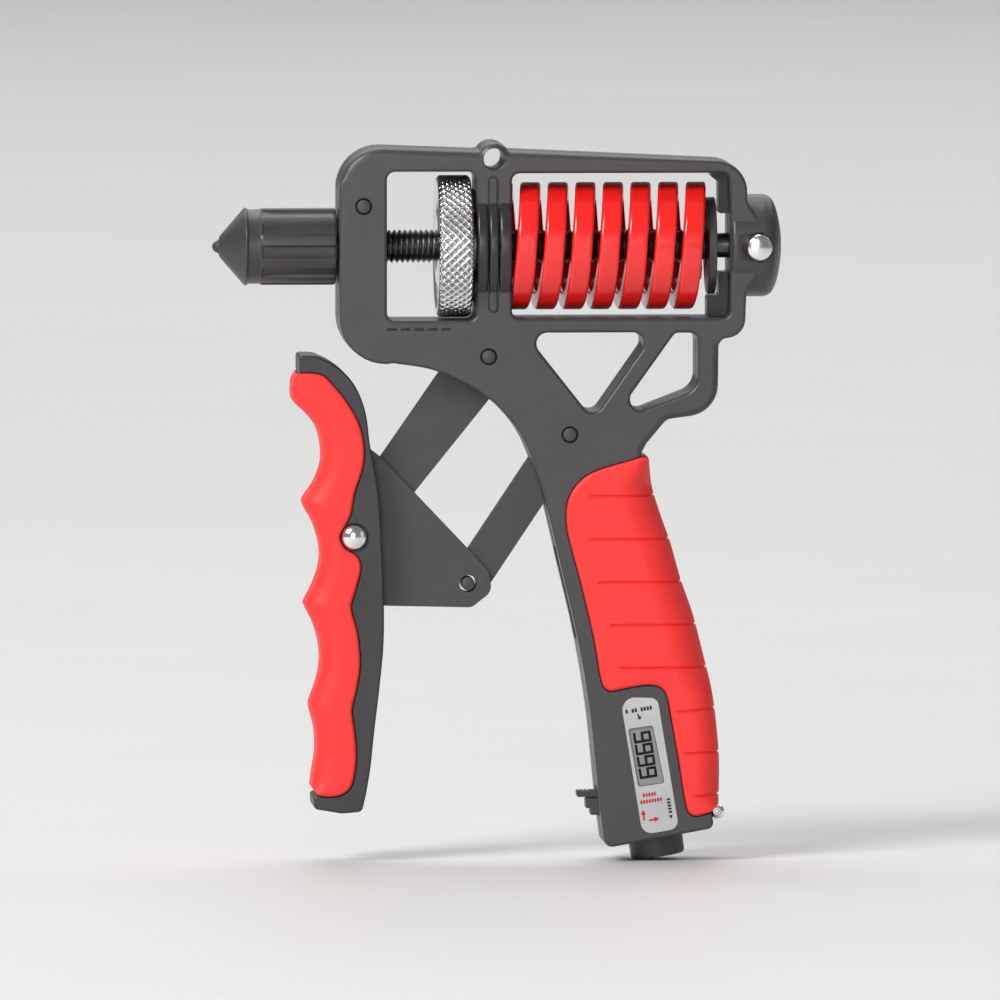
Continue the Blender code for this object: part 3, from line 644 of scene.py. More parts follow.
def foot_piece(name, profile, steps=96):
    """A piece turned about the foot's tilted axis, placed by distance up from the foot's end face."""
    made = lathe(name, profile, (0, 0, 0), "Z", steps)
    at = Vector((FOOT_X, 0, FOOT_R * math.sin(FOOT_TILT)))
    made.data.transform(Matrix.Translation(at * MM) @ Matrix.Rotation(-FOOT_TILT, 4, "Y"))
    return made


def stop_ribs():
    """The two ribs inside the rear shell that stop the spring seat at the right end of its window."""
    low = rounded([(49.7, 127.0, 0), (55.3, 127.0, 0), (55.3, 138.4, 0), (52.4, 138.4, 0.5),
                   (52.4, 132.9, 0.5), (49.7, 132.9, 0.8)])
    high = rounded([(55.3, 163.2, 0), (50.6, 163.2, 0), (50.6, 160.9, 0.8), (52.4, 159.6, 1.0),
                    (52.4, 152.2, 0.5), (55.3, 152.2, 0)])
    return [prism("low_stop_rib", low, 0.6, 9.0), prism("high_stop_rib", high, 0.6, 9.0)]


def shell(name, side):
    """One half of the frame, with a fine groove along the parting line."""
    outline = frame_outline()
    rim = eased(outline, HALF, frame_round, 5)
    seam = [[(x, PARTING, z) for x, z in offset(outline, -0.25)],
            [(x, PARTING + 0.3, z) for x, _, z in rim[0]]]
    made = skinned(name, [[(x, side * y, z) for x, y, z in ring] for ring in seam + rim])
    boolean(made, window_cutters())
    boss = lathe("boss", soft_corners([(54.9, 0), (54.9, BOSS_R), (63.2, BOSS_R), (64.7, 11.2), (65.7, 9.2),
                                       (66.4, 6.4), (66.9, 3.2), (67.05, 0)], 0.9))
    beads = []
    for start, end in ((DIVIDER_X[0], -2.6), (0.0, DIVIDER_X[1])):
        rise = [(0, 0.7), (0.12, 0.32), (0.4, 0.06), (0.7, 0)]
        profile = [(start, 0)] + [(start + along, BULGE_R - fall) for along, fall in rise]
        profile += [(end - along, BULGE_R - fall) for along, fall in reversed(rise)] + [(end, 0)]
        beads.append(lathe("bead", profile))
    web = lathe("web", [(-3.0, 0), (-3.0, BULGE_R - 1.6), (0.4, BULGE_R - 1.6), (0.4, 0)])
    boolean(made, [boss, web] + beads, "UNION")
    beyond = box("beyond", (-60, 80), sorted((side * PARTING, -side * 30)), (-10, 190))
    grip_room = offset(grip_outline(), GAP)
    grip_seat = prism("grip_seat", grip_room, side * (GRIP_CORE_HALF - GAP), side * (HALF + 2))
    slot = racetrack(KEY_X, KEY_Z[0] - GAP, KEY_Z[1] + GAP, 1.35)
    key_slot = prism("key_slot", slot, side * 9.5, side * (HALF + 6))
    pins = [hole(at, PIN_R + 0.03, HALF + 1) for at in PINS]
    for at in PINS:
        ring = circle(*at, PIN_R + PIN_RING)
        pins.append(prism("pin_ring", ring, side * (HALF - PIN_RING_DEPTH), side * (HALF + 1)))
    foot_hole = foot_piece("foot_hole", [(-3.0, 0), (-3.0, 6.9), (9.3, 6.9), (9.3, 0)])
    boolean(made, [beyond, grip_seat, key_slot, foot_hole] + inner_cutters() + pins)
    if side > 0:
        return boolean(made, stop_ribs(), "UNION")
    dashes = [box("dash", (-26.3 + 3.2 * k, -24.1 + 3.2 * k), (-HALF - 1, -HALF + 1.3), (125.3, 125.9))
              for k in range(5)]
    return boolean(made, dashes + [prism("label_hole", rounded(LABEL_CORNERS), -HALF - 1, -7.9)])


def darken_beads_and_paint_groove_shade(obj):
    """Gives the beads that stand proud beside the key their darker look, and paints shade in near black on
    the floors of the grooves round the pins.
    """
    obj.data.materials.append(looks["bead"])
    obj.data.materials.append(looks["groove"])
    for face in obj.data.polygons:
        centre = face.center / MM
        in_wall = DIVIDER_X[0] - 0.1 < centre.x < DIVIDER_X[1] + 0.1
        bead = in_wall and abs(centre.y) > HALF + 0.02 and centre.z < BEAD_TOP_Z
        # the grooves' floors get a near-black look: painted shade where the groove lies in shadow
        near_pin = any(math.dist((centre.x, centre.z), at) < PIN_R + PIN_RING + 0.05 for at in PINS)
        groove = near_pin and HALF - PIN_RING_DEPTH - 0.1 < abs(centre.y) < HALF - 0.01
        face.material_index = 1 if bead else 2 if groove else 0


def divider_key(name, side):
    """The narrow plate and bead let into the wall between the two windows."""
    outline = racetrack(KEY_X, KEY_Z[0] + 0.1, KEY_Z[1] - 0.1, 0.85)
    body = plate("key_plate", outline, side * KEY_FLOOR, side * HALF, 0.2)
    bead = lathe("bead", soft_corners([(-2.3, 9.9), (-2.3, BULGE_R), (-0.3, BULGE_R), (-0.3, 9.9)], 0.5),
                 closed=True)
    inside = box("inside", (-9, 9), sorted((side * KEY_FLOOR, -side * 30)), (120, 170))
    boolean(bead, [inside])
    return joined(name, [body, bead])


def pin(name, at, half, edge=0.25):
    """A pin along Y with rounded rims."""
    rim = [(half, 0), (half, PIN_R - edge), (half - edge * 0.3, PIN_R - edge * 0.3), (half - edge, PIN_R)]
    profile = [(-along, radius) for along, radius in rim] + rim[::-1]
    return lathe(name, profile, (at[0], 0, at[1]), "Y", steps=48)


# ---------------------------------------------------------------- grips and handle

def finely(points, spacing):
    """A closed outline with extra points, so that none are further apart than spacing."""
    out = []
    for a, b in zip(points, points[1:] + points[:1]):
        count = max(1, math.ceil((Vector(b) - Vector(a)).length / spacing))
        out += [(a[0] + (b[0] - a[0]) * k / count, a[1] + (b[1] - a[1]) * k / count) for k in range(count)]
    return out


def distances(at, line, closed):
    """How far each point is from a line of points."""
    line = np.array(line)
    starts = line if closed else line[:-1]
    runs = np.roll(line, -1, 0) - line if closed else line[1:] - line[:-1]
    to = at[:, None, :] - starts[None]
    share = np.clip((to * runs).sum(2) / np.maximum((runs ** 2).sum(1), 1e-9), 0, 1)
    return np.sqrt(((to - share[..., None] * runs) ** 2).sum(2)).min(1)


def fallen(reach, radius):
    """How far a quarter round of this radius has fallen at a distance from the edge."""
    inside = np.clip(radius - reach, 0, None)
    return radius - np.sqrt(np.clip(radius ** 2 - inside ** 2, 0, None))


def padded(name, outline, half, rim, soft_line, soft_radius, grooves=(), spacing=0.9):
    """A grip's skin: its faces fall away in a small rim all round and a large round along soft_line."""
    if area(outline) < 0:
        outline = outline[::-1]
    edge = finely(outline, 0.45)
    points = [Vector(p) for p in edge]
    joins = []
    for share in (0.04, 0.16, 0.36, 0.64, 1.0, 1.6):
        first = len(points)
        ring = offset(edge, -rim * share)
        points += [Vector(p) for p in ring]
        joins += [(first + i, first + (i + 1) % len(ring)) for i in range(len(ring))]
    for ends in grooves:
        a, b = Vector(ends[0]), Vector(ends[1])
        aside = Vector((a.y - b.y, b.x - a.x)).normalized()
        count = math.ceil((b - a).length / 0.5)
        for across in (-1.3, -1.0, -0.66, -0.33, 0, 0.33, 0.66, 1.0, 1.3):
            first = len(points)
            points += [a.lerp(b, k / count) + aside * across * GROOVE_WIDTH for k in range(count + 1)]
            joins += [(first + k, first + k + 1) for k in range(count)]
    low = [min(p[k] for p in outline) for k in (0, 1)]
    high = [max(p[k] for p in outline) for k in (0, 1)]
    rows = math.ceil((high[1] - low[1]) / (spacing * 0.87))
    columns = math.ceil((high[0] - low[0]) / spacing)
    grid = np.array([(low[0] + spacing * (i + 0.5 * (j % 2)), low[1] + spacing * 0.87 * j)
                     for j in range(rows) for i in range(columns)])
    clear = distances(grid, edge, True) > rim * 1.6 + spacing * 0.4
    for ends in grooves:
        clear &= distances(grid, ends, False) > GROOVE_WIDTH * 1.3 + spacing * 0.3
    points += [Vector(p) for p in grid[clear]]
    flat, _, faces, _, _, _ = mathutils.geometry.delaunay_2d_cdt(
        points, joins, [list(range(len(edge)))], 1, 0.001)
    at = np.array([tuple(p) for p in flat])
    round_off = np.array([soft_radius(z) for _, z in at])
    drop = np.maximum(fallen(distances(at, edge, True), rim),
                      fallen(distances(at, soft_line, False), round_off))
    bm = bmesh.new()
    front = [bm.verts.new((x, -half + d, z)) for (x, z), d in zip(at, drop)]
    back = [bm.verts.new((x, half - d, z)) for (x, z), d in zip(at, drop)]
    for face in faces:
        bm.faces.new([front[i] for i in face])
        bm.faces.new([back[i] for i in reversed(face)])
    twin = dict(zip(front, back))
    for a, b in [tuple(e.verts) for e in bm.edges if len(e.link_faces) == 1 and e.verts[0] in twin]:
        bm.faces.new((a, b, twin[b], twin[a]))
    bmesh.ops.recalc_face_normals(bm, faces=bm.faces)
    bm.normal_update()
    verts = list(bm.verts)
    places = np.array([(v.co.x, v.co.z) for v in verts])
    for ends in grooves:
        near = distances(places, ends, False)
        sunk = GROOVE_DEPTH * np.clip(1.5 * (1 - near / GROOVE_WIDTH), 0, 1)
        for i in np.nonzero(sunk)[0]:
            verts[i].co -= verts[i].normal * sunk[i]
    return add(name, bm)


def grip_round(z):
    """How far the palm grip's back is rounded: most over the heel of the hand."""
    full = 8.2 + (5.6 - 8.2) * min(1.0, max(0.0, (46 - z) / 8))
    return max(0.8, min(full, 2.0 + 0.9 * (GRIP_Z[1] - z), 2.0 + 0.9 * (z - GRIP_Z[0])))


def build_main_grip():
    """The palm grip with a fine groove round the back at each finger's width."""
    body = padded("main_grip_skin", grip_outline(), GRIP_HALF, 0.8, curve(GRIP_BACK), grip_round, GROOVES)
    core = prism("core", offset(frame_outline(), GAP), -GRIP_CORE_HALF, GRIP_CORE_HALF)
    button_way = lathe("button_way", [(40, 0), (40, 2.0), (60, 2.0), (60, 0)], (0, 0, RESET_Z))
    return boolean(body, [core, button_way])


HANDLE_RIGHT = [
    (-39.7, 117.9), (-36.9, 115.9), (-34.4, 113.2), (-32.4, 109.4), (-31.1, 104.8), (-30.3, 98.4),
    (-29.0, 92.0), (-28.0, 84.0), (-27.5, 74.4), (-27.1, 64.0), (-27.1, 52.0), (-28.1, 41.0), (-29.3, 31.0),
    (-30.2, 22.5), (-31.2, 16.4)]
HANDLE_FINGERS = [
    (-47.0, 115.2), (-48.3, 113.2), (-48.3, 108.9), (-45.6, 106.0), (-42.8, 102.6), (-41.5, 98.0),
    (-41.5, 93.6), (-43.1, 89.2), (-45.5, 85.6), (-45.7, 83.8), (-43.4, 79.6), (-41.9, 74.6), (-41.8, 70.0),
    (-43.4, 65.0), (-45.3, 61.2), (-45.2, 59.8), (-43.1, 55.4), (-41.8, 50.2), (-41.8, 45.6), (-42.8, 41.4),
    (-44.2, 37.4), (-44.1, 35.4), (-43.0, 31.0), (-42.8, 25.6), (-43.6, 20.6), (-43.9, 17.6)]
HANDLE_GRIP_BACK = [
    (-42.6, 15.9), (-39.6, 15.6), (-36.6, 16.3), (-34.5, 18.8), (-33.6, 25.0), (-34.0, 31.0), (-34.6, 36.0),
    (-33.5, 41.0), (-32.7, 47.0), (-33.3, 54.2), (-34.8, 60.0), (-33.7, 64.4), (-32.5, 69.4), (-33.4, 72.2),
    (-36.3, 74.0), (-37.5, 76.8), (-36.3, 79.4), (-34.9, 82.0), (-34.0, 87.0), (-32.2, 92.6), (-31.7, 97.4),
    (-32.8, 103.0), (-35.6, 108.2), (-38.6, 112.0), (-41.2, 114.6), (-44.2, 115.4)]


def handle_outline():
    left = [(-38.9, 20.0), (-39.4, 36.0), (-39.3, 60.0), (-39.3, 96.0), (-41.0, 103.0), (-45.0, 109.0),
            (-46.7, 113.5)]
    top = rounded([(-46.9, 114.5, 0), (-46.9, 119.5, 0.8), (-43.0, 119.4, 3.0), (-39.7, 117.9, 0)])
    low = rounded([(-31.2, 16.4, 0), (-32.2, 12.0, 1.4), (-37.0, 11.6, 3.0), (-43.5, 12.7, 1.0),
                   (-43.6, 15.4, 0.6), (-41.5, 17.0, 1.0), (-38.9, 20.0, 0)])
    return top[:-1] + curve(HANDLE_RIGHT)[:-1] + low[:-1] + left


def handle_grip_outline():
    return curve(HANDLE_FINGERS, 4) + curve(HANDLE_GRIP_BACK, 4)


def finger_round(z):
    """How far the finger grip is rounded on the fingers' side."""
    return max(0.7, min(4.6, 1.5 + 0.9 * (HANDLE_GRIP_Z[1] - z), 1.5 + 0.9 * (z - HANDLE_GRIP_Z[0])))


def build_finger_grip():
    body = padded("finger_grip_skin", handle_grip_outline(), HANDLE_GRIP_HALF, 0.7, curve(HANDLE_FINGERS, 4),
                  finger_round, spacing=0.8)
    return boolean(body, [prism("core", offset(handle_outline(), GAP), -HANDLE_CORE_HALF, HANDLE_CORE_HALF)])


def build_handle_core():
    core = bar("handle_core_skin", handle_outline(), HANDLE_HALF, 0.5, 3)
    seats = [prism("seat", offset(handle_grip_outline(), GAP), side * (HANDLE_CORE_HALF - GAP), side * 14)
             for side in (-1, 1)]
    sweep = [(-37.4, 56.5), (-20.0, 56.5), (-20.0, 108.5), (-32.3, 108.5), (-34.6, 98.0), (-37.4, 90.5)]
    slot = prism("slot", sweep, -BRACKET_OUTER - GAP, BRACKET_OUTER + GAP)
    head_room = circle(*HANDLE_PIVOT, 3.5)
    rivet = [hole(HANDLE_PIVOT, RIVET_R + GAP, 20), prism("rivet_front", head_room, -20, -9.0),
             prism("rivet_rear", head_room, 9.0, 20)]
    return boolean(core, seats + [slot] + rivet)


def build_bracket(name, side):
    outline = rounded([(-30.6, 97.6, 1.0), (-27.2, 95.0, 1.5), (-1.9, 68.3, 3.2), (-1.3, 63.4, 3.0),
                       (-6.0, 59.7, 2.4), (-37.0, 60.4, 1.0), (-37.0, 90.0, 1.0)])
    made = plate(name, outline, side * BRACKET_INNER, side * BRACKET_OUTER, 0.2)
    return boolean(made, [hole(HANDLE_PIVOT, RIVET_R + GAP, 9), hole(BRACKET_PIVOT, PIN_R + PIN_RING, 9)])


def tapered_link(ends):
    """The outline of a flat bar around circles (x, z, radius), two ends, widening between them."""
    (x0, z0, r0), (x1, z1, r1) = ends
    along = Vector((x1 - x0, z1 - z0))
    heading = math.atan2(along.y, along.x)
    lean = math.asin((r0 - r1) / along.length)
    points = []
    for x, z, r, start in ((x0, z0, r0, math.pi / 2 - lean), (x1, z1, r1, -math.pi / 2 + lean)):
        sweep = math.pi + (2 * lean if r == r1 else -2 * lean)
        for k in range(25):
            a = heading + start + sweep * k / 24
            points.append((x + r * math.cos(a), z + r * math.sin(a)))
    return points


def build_upper_link():
    """The bell crank: a flat arm to the handle and a fork that pushes the screw's washer."""
    x, z = LEVER_PIVOT
    cx, cz = HANDLE_PIVOT
    shoulder = Vector(HANDLE_PIVOT) + Vector((x - cx, z - cz)).normalized() * 8.5
    parts = [tapered_link([(shoulder.x, shoulder.y, 5.4), (x, z, 7.0)]),
             tapered_link([(cx, cz, 3.0), (shoulder.x, shoulder.y, 5.39)]),
             [(x - 3.4, z), (x + 3.4, z), (x + 2.0, AXIS_Z - 7), (x - 2.0, AXIS_Z - 7)]]
    link, nose, arm = [prism("upper_link_bar", part, -LINK_HALF, LINK_HALF) for part in parts]
    fork = prism("fork", tapered_link([(x, 134.2, 2.19), (x, AXIS_Z, 2.2)]), -8.0, 8.0)
    boolean(link, [nose, arm, fork], "UNION")
    boolean(link, [box("fork_slot", (x - 5, x + 5), (-4.9, 4.9), (138.9, 160)),
                   hole(LEVER_PIVOT, PIN_R + BORE_PLAY, 5), hole(HANDLE_PIVOT, RIVET_R + BORE_PLAY, 5)])
    return bevelled(link, 0.15)


def build_lower_link():
    outline = tapered_link([(*BRACKET_PIVOT, 4.5), (*LINK_PIVOT, 4.5)])
    link = prism("lower_link_bar", outline, -LINK_HALF, LINK_HALF)
    boolean(link, [hole(LINK_PIVOT, PIN_R + BORE_PLAY, 5), hole(BRACKET_PIVOT, PIN_R + 0.6, 5)])
    return bevelled(link, 0.15)


def build_rivet():
    half, rise, head_foot = HANDLE_GRIP_HALF + 0.9, 2.0, 9.3
    dome = [(half - rise * (1 - math.cos(a)), RIVET_HEAD_R * math.sin(a))
            for a in (math.radians(9 * k) for k in range(11))]
    dome[0] = (half, 0)
    profile = [(-along, radius) for along, radius in dome]
    profile += [(-head_foot, RIVET_HEAD_R), (-head_foot, RIVET_R), (head_foot, RIVET_R),
                (head_foot, RIVET_HEAD_R)] + dome[::-1]
    return lathe("handle_rivet_head", profile, (HANDLE_PIVOT[0], 0, HANDLE_PIVOT[1]), "Y", steps=64)


# ---------------------------------------------------------------- screw and spring

def build_nut():
    """The knurled nut: a net of raised lines round its rim, with a recess in each face."""
    around, lines, across = 936, 52, 60
    edge, depth = 0.9, 0.42
    bm = bmesh.new()
    rings = []
    for j in range(across + 1):
        x = NUT_X[0] + (NUT_X[1] - NUT_X[0]) * j / across
        to_edge = min(x - NUT_X[0], NUT_X[1] - x)
        crown = NUT_R - 0.8 * max(0.0, 1 - to_edge / edge) ** 2
        v = (x - NUT_X[0]) / (2 * math.pi * NUT_R / lines)
        ring = []
        for i, a in enumerate(angles(around)):
            u = lines * i / around
            ridge = min(abs((u + v) % 1 - 0.5), abs((u - v) % 1 - 0.5))
            pit = min(1.0, max(0.0, (ridge - 0.09) / 0.14)) * min(1.0, to_edge / 0.5)
            radius = crown - depth * pit
            ring.append(bm.verts.new((x, radius * math.cos(a), AXIS_Z + radius * math.sin(a))))
        rings.append(ring)
    bores = []
    for low, high in zip(rings, rings[1:]):
        band(bm, low, high)
    for last, x, inward in ((rings[0], NUT_X[0], 1), (rings[-1], NUT_X[1], -1)):
        for radius, step in ((14.9, 0.0), (13.9, 0.5), (9.4, 0.5), (8.6, 0.0), (5.2, 0.0), (4.45, 0.6)):
            face = [bm.verts.new(p) for p in hoop(x + inward * step, radius, around)]
            band(bm, last, face)
            last = face
        bores.append(last)
    band(bm, *bores)
    return add("knurled_nut", bm)


def paint_knurl_pit_shade(nut):
    """Paints shade on the floors of the knurl: a darker grey, rougher look in its recesses."""
    nut.data.materials.append(looks["pit"])
    for face in nut.data.polygons:
        centre = face.center / MM
        radius = math.hypot(centre.y, centre.z - AXIS_Z)
        if NUT_X[0] + 0.5 < centre.x < NUT_X[1] - 0.5 and 15.5 < radius < NUT_R - 0.30:
            face.material_index = 1


def threaded(name, start, end, steps=40, per_pitch=8):
    """The rod with a real helical thread, closed at both ends."""
    count = round((end - start) / THREAD_PITCH * per_pitch)
    rings = []
    for j in range(count + 1):
        x = start + (end - start) * j / count
        run_out = max(0.0, min(1.0, (x - start) / 0.8, (end - x) / 0.8))
        ring = []
        for i, a in enumerate(angles(steps)):
            phase = (x / THREAD_PITCH + i / steps) % 1
            depth = THREAD_DEPTH * min(1.0, max(0.0, 1.35 - 2.7 * abs(phase - 0.5)))
            r = ROD_R - depth * run_out - 0.5 * (1 - run_out)
            ring.append((x, r * math.cos(a), AXIS_Z + r * math.sin(a)))
        rings.append(ring)
    return skinned(name, rings)


def build_rod():
    """The M8 rod, threaded on the nut's side, with the hollow that takes the guide post."""
    rod = threaded("threaded_rod", -41.0, 51.3)
    return boolean(rod, [lathe("hollow", [(29.0, 0), (29.5, 2.3), (53, 2.3), (53, 0)])])


def build_spring():
    """A left-handed coil of flat wire with rounded edges, its ends ground square."""
    per_turn = 72
    start = FRONT_STRAND - 1.5 * SPRING_PITCH
    turns = 1.5 + FRONT_STRANDS - 0.4  # the wire ends behind, past its last turn in front
    half_w, half_d, bulge = WIRE_WIDTH / 2, WIRE_DEPTH / 2, 0.10
    wire = rectangle(-half_w, half_w, -half_d, half_d, 0.75)
    wire = [(along, out + bulge * (1 - (along / half_w) ** 2) * (out > 0)) for along, out in wire]
    rings = []
    for i in range(round(turns * per_turn) + 1):
        a = 2 * math.pi * i / per_turn
        x = start + SPRING_PITCH * i / per_turn
        ring = []
        for along, out in wire:
            radius = SPRING_R - half_d - bulge + out
            ring.append((x + along, radius * math.cos(a), AXIS_Z - radius * math.sin(a)))
        rings.append(ring)
    return boolean(skinned("die_spring", rings), [box("left_end", (-20, SPRING_X[0]), (-20, 20), (120, 170)),
                                                  box("right_end", (SPRING_X[1], 80), (-20, 20), (120, 170))])


def build_rod_cover():
    """The fluted cap over the rod's end, with a plain band, a cone and a ball tip."""
    steps, ribs, turn = 240, 10, math.radians(11.7)
    profile = [
        (-37.9, 5.3), (-37.9, 8.5), (-38.2, 8.95), (-38.7, 9.05), (-55.2, 9.05), (-55.7, 8.95), (-56.0, 8.75),
        (-58.5, 8.75), (-58.75, 8.85), (-58.9, 9.05), (-59.15, 9.2), (-59.4, 9.15), (-59.7, 8.85),
        (-65.0, 2.75), (-65.3, 2.25), (-65.4, 1.9), (-65.55, 1.6), (-65.9, 1.45), (-66.3, 1.2), (-66.7, 0.85),
        (-66.92, 0.45)]
    fine = []
    for (x0, r0), (x1, r1) in zip(profile, profile[1:]):
        parts = 6 if abs(x1 - x0) > 4 else 1
        fine += [(x0 + (x1 - x0) * k / parts, r0 + (r1 - r0) * k / parts) for k in range(parts)]
    fine.append(profile[-1])
    rings = [hoop(x, r, steps) for x, r in ((-60.2, 4.2), (-59.0, 5.3))]
    for x, r in fine:
        along = min(1.0, max(0.0, (x + 55.4) / 0.35)) * min(1.0, max(0.0, (-37.7 - x) / 0.3))
        ring = []
        for a in angles(steps):
            wave = math.cos(ribs * (math.atan2(math.sin(a), -math.cos(a)) - turn))
            flute = 0.5 - 0.5 * max(-1.0, min(1.0, wave * 4.0))
            radius = r - (0.75 * flute * along if r > 6 else 0)
            ring.append((x, radius * math.cos(a), AXIS_Z + radius * math.sin(a)))
        rings.append(ring)
    bm = bmesh.new()
    chain = [[bm.verts.new(p) for p in ring] for ring in rings]
    for low, high in zip(chain, chain[1:]):
        band(bm, low, high)
    for ring, x in ((chain[-1], -67.0), (chain[0], -60.2)):
        tip = bm.verts.new((x, 0, AXIS_Z))
        for i in range(steps):
            bm.faces.new((ring[i], ring[(i + 1) % steps], tip))
    return add("fluted_rod_cover", bm)


# ---------------------------------------------------------------- counter

def on_label(along, across):
    """A point on the label: along runs down its middle from the top, across to the right."""
    top = Vector((33.0, 38.8))
    down = (Vector((38.05, 7.3)) - top).normalized()
    right = Vector((-down.y, down.x))
    if right.x < 0:
        right = -right
    at = top + down * along + right * across
    return (at.x, at.y)


def print_on(name, shapes, y0=-HALF - 0.24, y1=-HALF - 0.16):
    """Flat printed shapes, each a list of (along, across) points on the label.

    Six neighbouring depths keep the fronts of strokes that cross from lying in one plane.
    """
    return joined(name, [prism("mark", [on_label(*p) for p in shape], y0 - 0.01 * (k % 6), y1)
                         for k, shape in enumerate(shapes)])


def bar_row(first, step, width, span, places, down=False):
    """Bars side by side across the label at these places of a row, or down it."""
    bars = []
    for k in places:
        near = first + step * k
        far = first + width + step * k
        if down:
            bars.append([(near, span[0]), (far, span[0]), (far, span[1]), (near, span[1])])
        else:
            bars.append([(span[0], near), (span[1], near), (span[1], far), (span[0], far)])
    return bars


def arrow(along, across, heading, length, width=0.42):
    """An arrow starting at a point, heading in degrees: 0 points down the label, 90 to its right."""
    a = math.radians(heading)
    ahead = Vector((math.cos(a), math.sin(a)))
    aside = Vector((-ahead.y, ahead.x))
    neck = length * 0.55
    parts = [(0, -width / 2), (neck, -width / 2), (neck, -width * 1.5), (length, 0), (neck, width * 1.5),
             (neck, width / 2), (0, width / 2)]
    return [tuple(Vector((along, across)) + ahead * f + aside * s) for f, s in parts]


def stroke(start, end, half=0.3, cut=0.17):
    """A stroke between two points on the label, its squared ends reaching past them with cut corners."""
    start = Vector(start)
    ahead = Vector(end) - start
    length = ahead.length
    ahead.normalize()
    aside = Vector((-ahead.y, ahead.x))
    near, far, flat = cut - half, length + half - cut, half - cut
    corners = [(near, -half), (far, -half), (length + half, near), (length + half, flat), (far, half),
               (near, half), (-half, flat), (-half, near)]
    return [tuple(start + ahead * f + aside * g) for f, g in corners]


def nine(along, across, height=3.6, width=1.95):
    """The strokes of a nine lying on its side: up is to the right, and reading runs down the label."""
    low, middle, high = across - height / 2, across, across + height / 2
    end = along + width
    pairs = [((along, low), (end, low)), ((along, middle), (end, middle)), ((along, high), (end, high)),
             ((along, middle), (along, high)), ((end, middle), (end, high)), ((end, low), (end, middle))]
    return [stroke(*pair) for pair in pairs]


def build_counter():
    surface = plate("counter_label", offset(rounded(LABEL_CORNERS), -0.03), -HALF - 0.2, -8.0, 0.15)
    lcd = rounded(LCD_CORNERS)
    boolean(surface, [prism("opening", lcd, -HALF - 2, -6)])
    piece(surface, "frame", "label", "label", "counter_bezel")
    panel = plate("display_panel", offset(lcd, -0.1), -HALF + 0.35, -8.7, 0.05, 1)
    piece(panel, "frame", "display", "display", "display_window")
    digits = []
    for k in range(4):
        digits += nine(8.4 + 2.83 * k, -0.72)
    piece(print_on("display_digits", digits, -HALF + 0.3, -HALF + 0.34), "frame", "display", "digit")
    red = [arrow(28.85, -3.4, 178, 2.5), arrow(29.0, -2.3, 92, 2.5)]
    red += bar_row(-2.8, 0.66, 0.45, (22.6, 23.4), range(5))
    red += bar_row(-3.6, 0.66, 0.45, (24.1, 24.9), range(8))
    piece(print_on("label_red_marks", red), "frame", "label", "red_ink")
    black = [arrow(3.8, -1.0, 20, 1.5, 0.4), [(28.6, 2.5), (29.5, 2.95), (28.6, 3.4)]]
    black += bar_row(-3.7, 0.72, 0.5, (2.4, 3.3), (0, 2, 3, 5, 6, 7, 8))
    black += bar_row(24.6, 0.75, 0.45, (2.6, 3.4), range(5), down=True)
    piece(print_on("label_black_marks", black), "frame", "label", "black_ink")


def build_trigger():
    guide = prism("trigger_housing", rectangle(20.9, 27.0, 10.6, 14.6, 0.5), -3.0, 3.0)
    boolean(guide, [box("step", (20.0, 22.0), (-4, 4), (9.0, 12.2))])
    piece(bevelled(guide, 0.25, 3), "frame", "link", "link", "trigger_guide")
    blade = prism("trigger_blade", rounded([(18.8, 14.8, 0.5), (26.5, 14.8, 0.3), (26.5, 16.4, 0.3),
                                            (18.8, 16.4, 0.5)]), -2.4, 2.4)
    boolean(blade, [box("ridge", (19.4 + 0.9 * k, 19.8 + 0.9 * k), (-4, 4), (16.2, 18.0)) for k in range(3)])
    piece(bevelled(blade, 0.2, 3), "trigger", "black_plastic", "black", "counter_trigger")


def build_reset():
    """The small bright knob at the back, with a dished side round a raised centre."""
    ball, centre, stem = 1.8, 52.0, 0.9
    profile = [(45.5, 0), (45.5, stem), (50.3, stem)]
    sweep = math.pi - math.asin(stem / ball)
    for k in range(12):
        a = sweep - sweep * k / 12
        profile.append((centre + ball * math.cos(a), ball * math.sin(a)))
    profile.append((centre + ball, 0))
    knob = lathe("reset_knob", profile, (0, 0, RESET_Z), "X", steps=48)
    hollow = [(1.28, 0), (1.28, 0.42), (1.12, 0.62), (1.12, 0.86), (1.4, 1.0), (2.4, 1.0), (2.4, 0)]
    for side in (-1, 1):
        dish = lathe("dish", hollow, (0, 0, 0), "Y", steps=40)
        turn = Matrix.Rotation(math.pi if side < 0 else 0, 4, "Z")
        dish.data.transform(Matrix.Translation((centre * MM, 0, RESET_Z * MM)) @ turn)
        boolean(knob, [dish])
    piece(knob, "reset", "silver", "chrome", "reset_button")


# ---------------------------------------------------------------- assembly

def all_looks():
    made = {
        "shell": shell_look(), "link": link_look(), "rubber": rubber_look(), "enamel": enamel_look(),
        "chrome": metal_look("bright_chrome", (0.86, 0.86, 0.87), 0.16, (6, 1, 1)),
        # the knurl floor's darker grey is painted shade in the knurl's recesses
        "pit": metal_look("knurl_floor_painted_shade", (0.30, 0.30, 0.31), 0.40),
        "steel": metal_look("blackened_steel", (0.13, 0.125, 0.125), 0.34, (6, 1, 1)),
        "cell": metal_look("cell_steel", (0.70, 0.70, 0.69), 0.25, (1, 1, 5)),
        "label": label_look(), "display": display_look(), "board": board_look(),
        "digit": ink_look("crystal_ink", (0.006, 0.006, 0.007)),
        "red_ink": ink_look("red_ink", (0.55, 0.012, 0.02)),
        "black_ink": ink_look("black_ink", (0.02, 0.02, 0.02))}
    # the last look here is near black: painted shade for the floors of the grooves round the pins
    for key, name, colour, roughness in (("black", "black_moulding", (0.040, 0.038, 0.040), 0.38),
                                         ("core", "handle_core_moulding", (0.030, 0.027, 0.029), 0.42),
                                         ("bead", "glossy_bead", (0.028, 0.026, 0.027), 0.26),
                                         ("groove", "pin_groove_painted_shade", (0.005, 0.005, 0.005), 0.6)):
        made[key] = moulded(name, colour, roughness).made
    return made


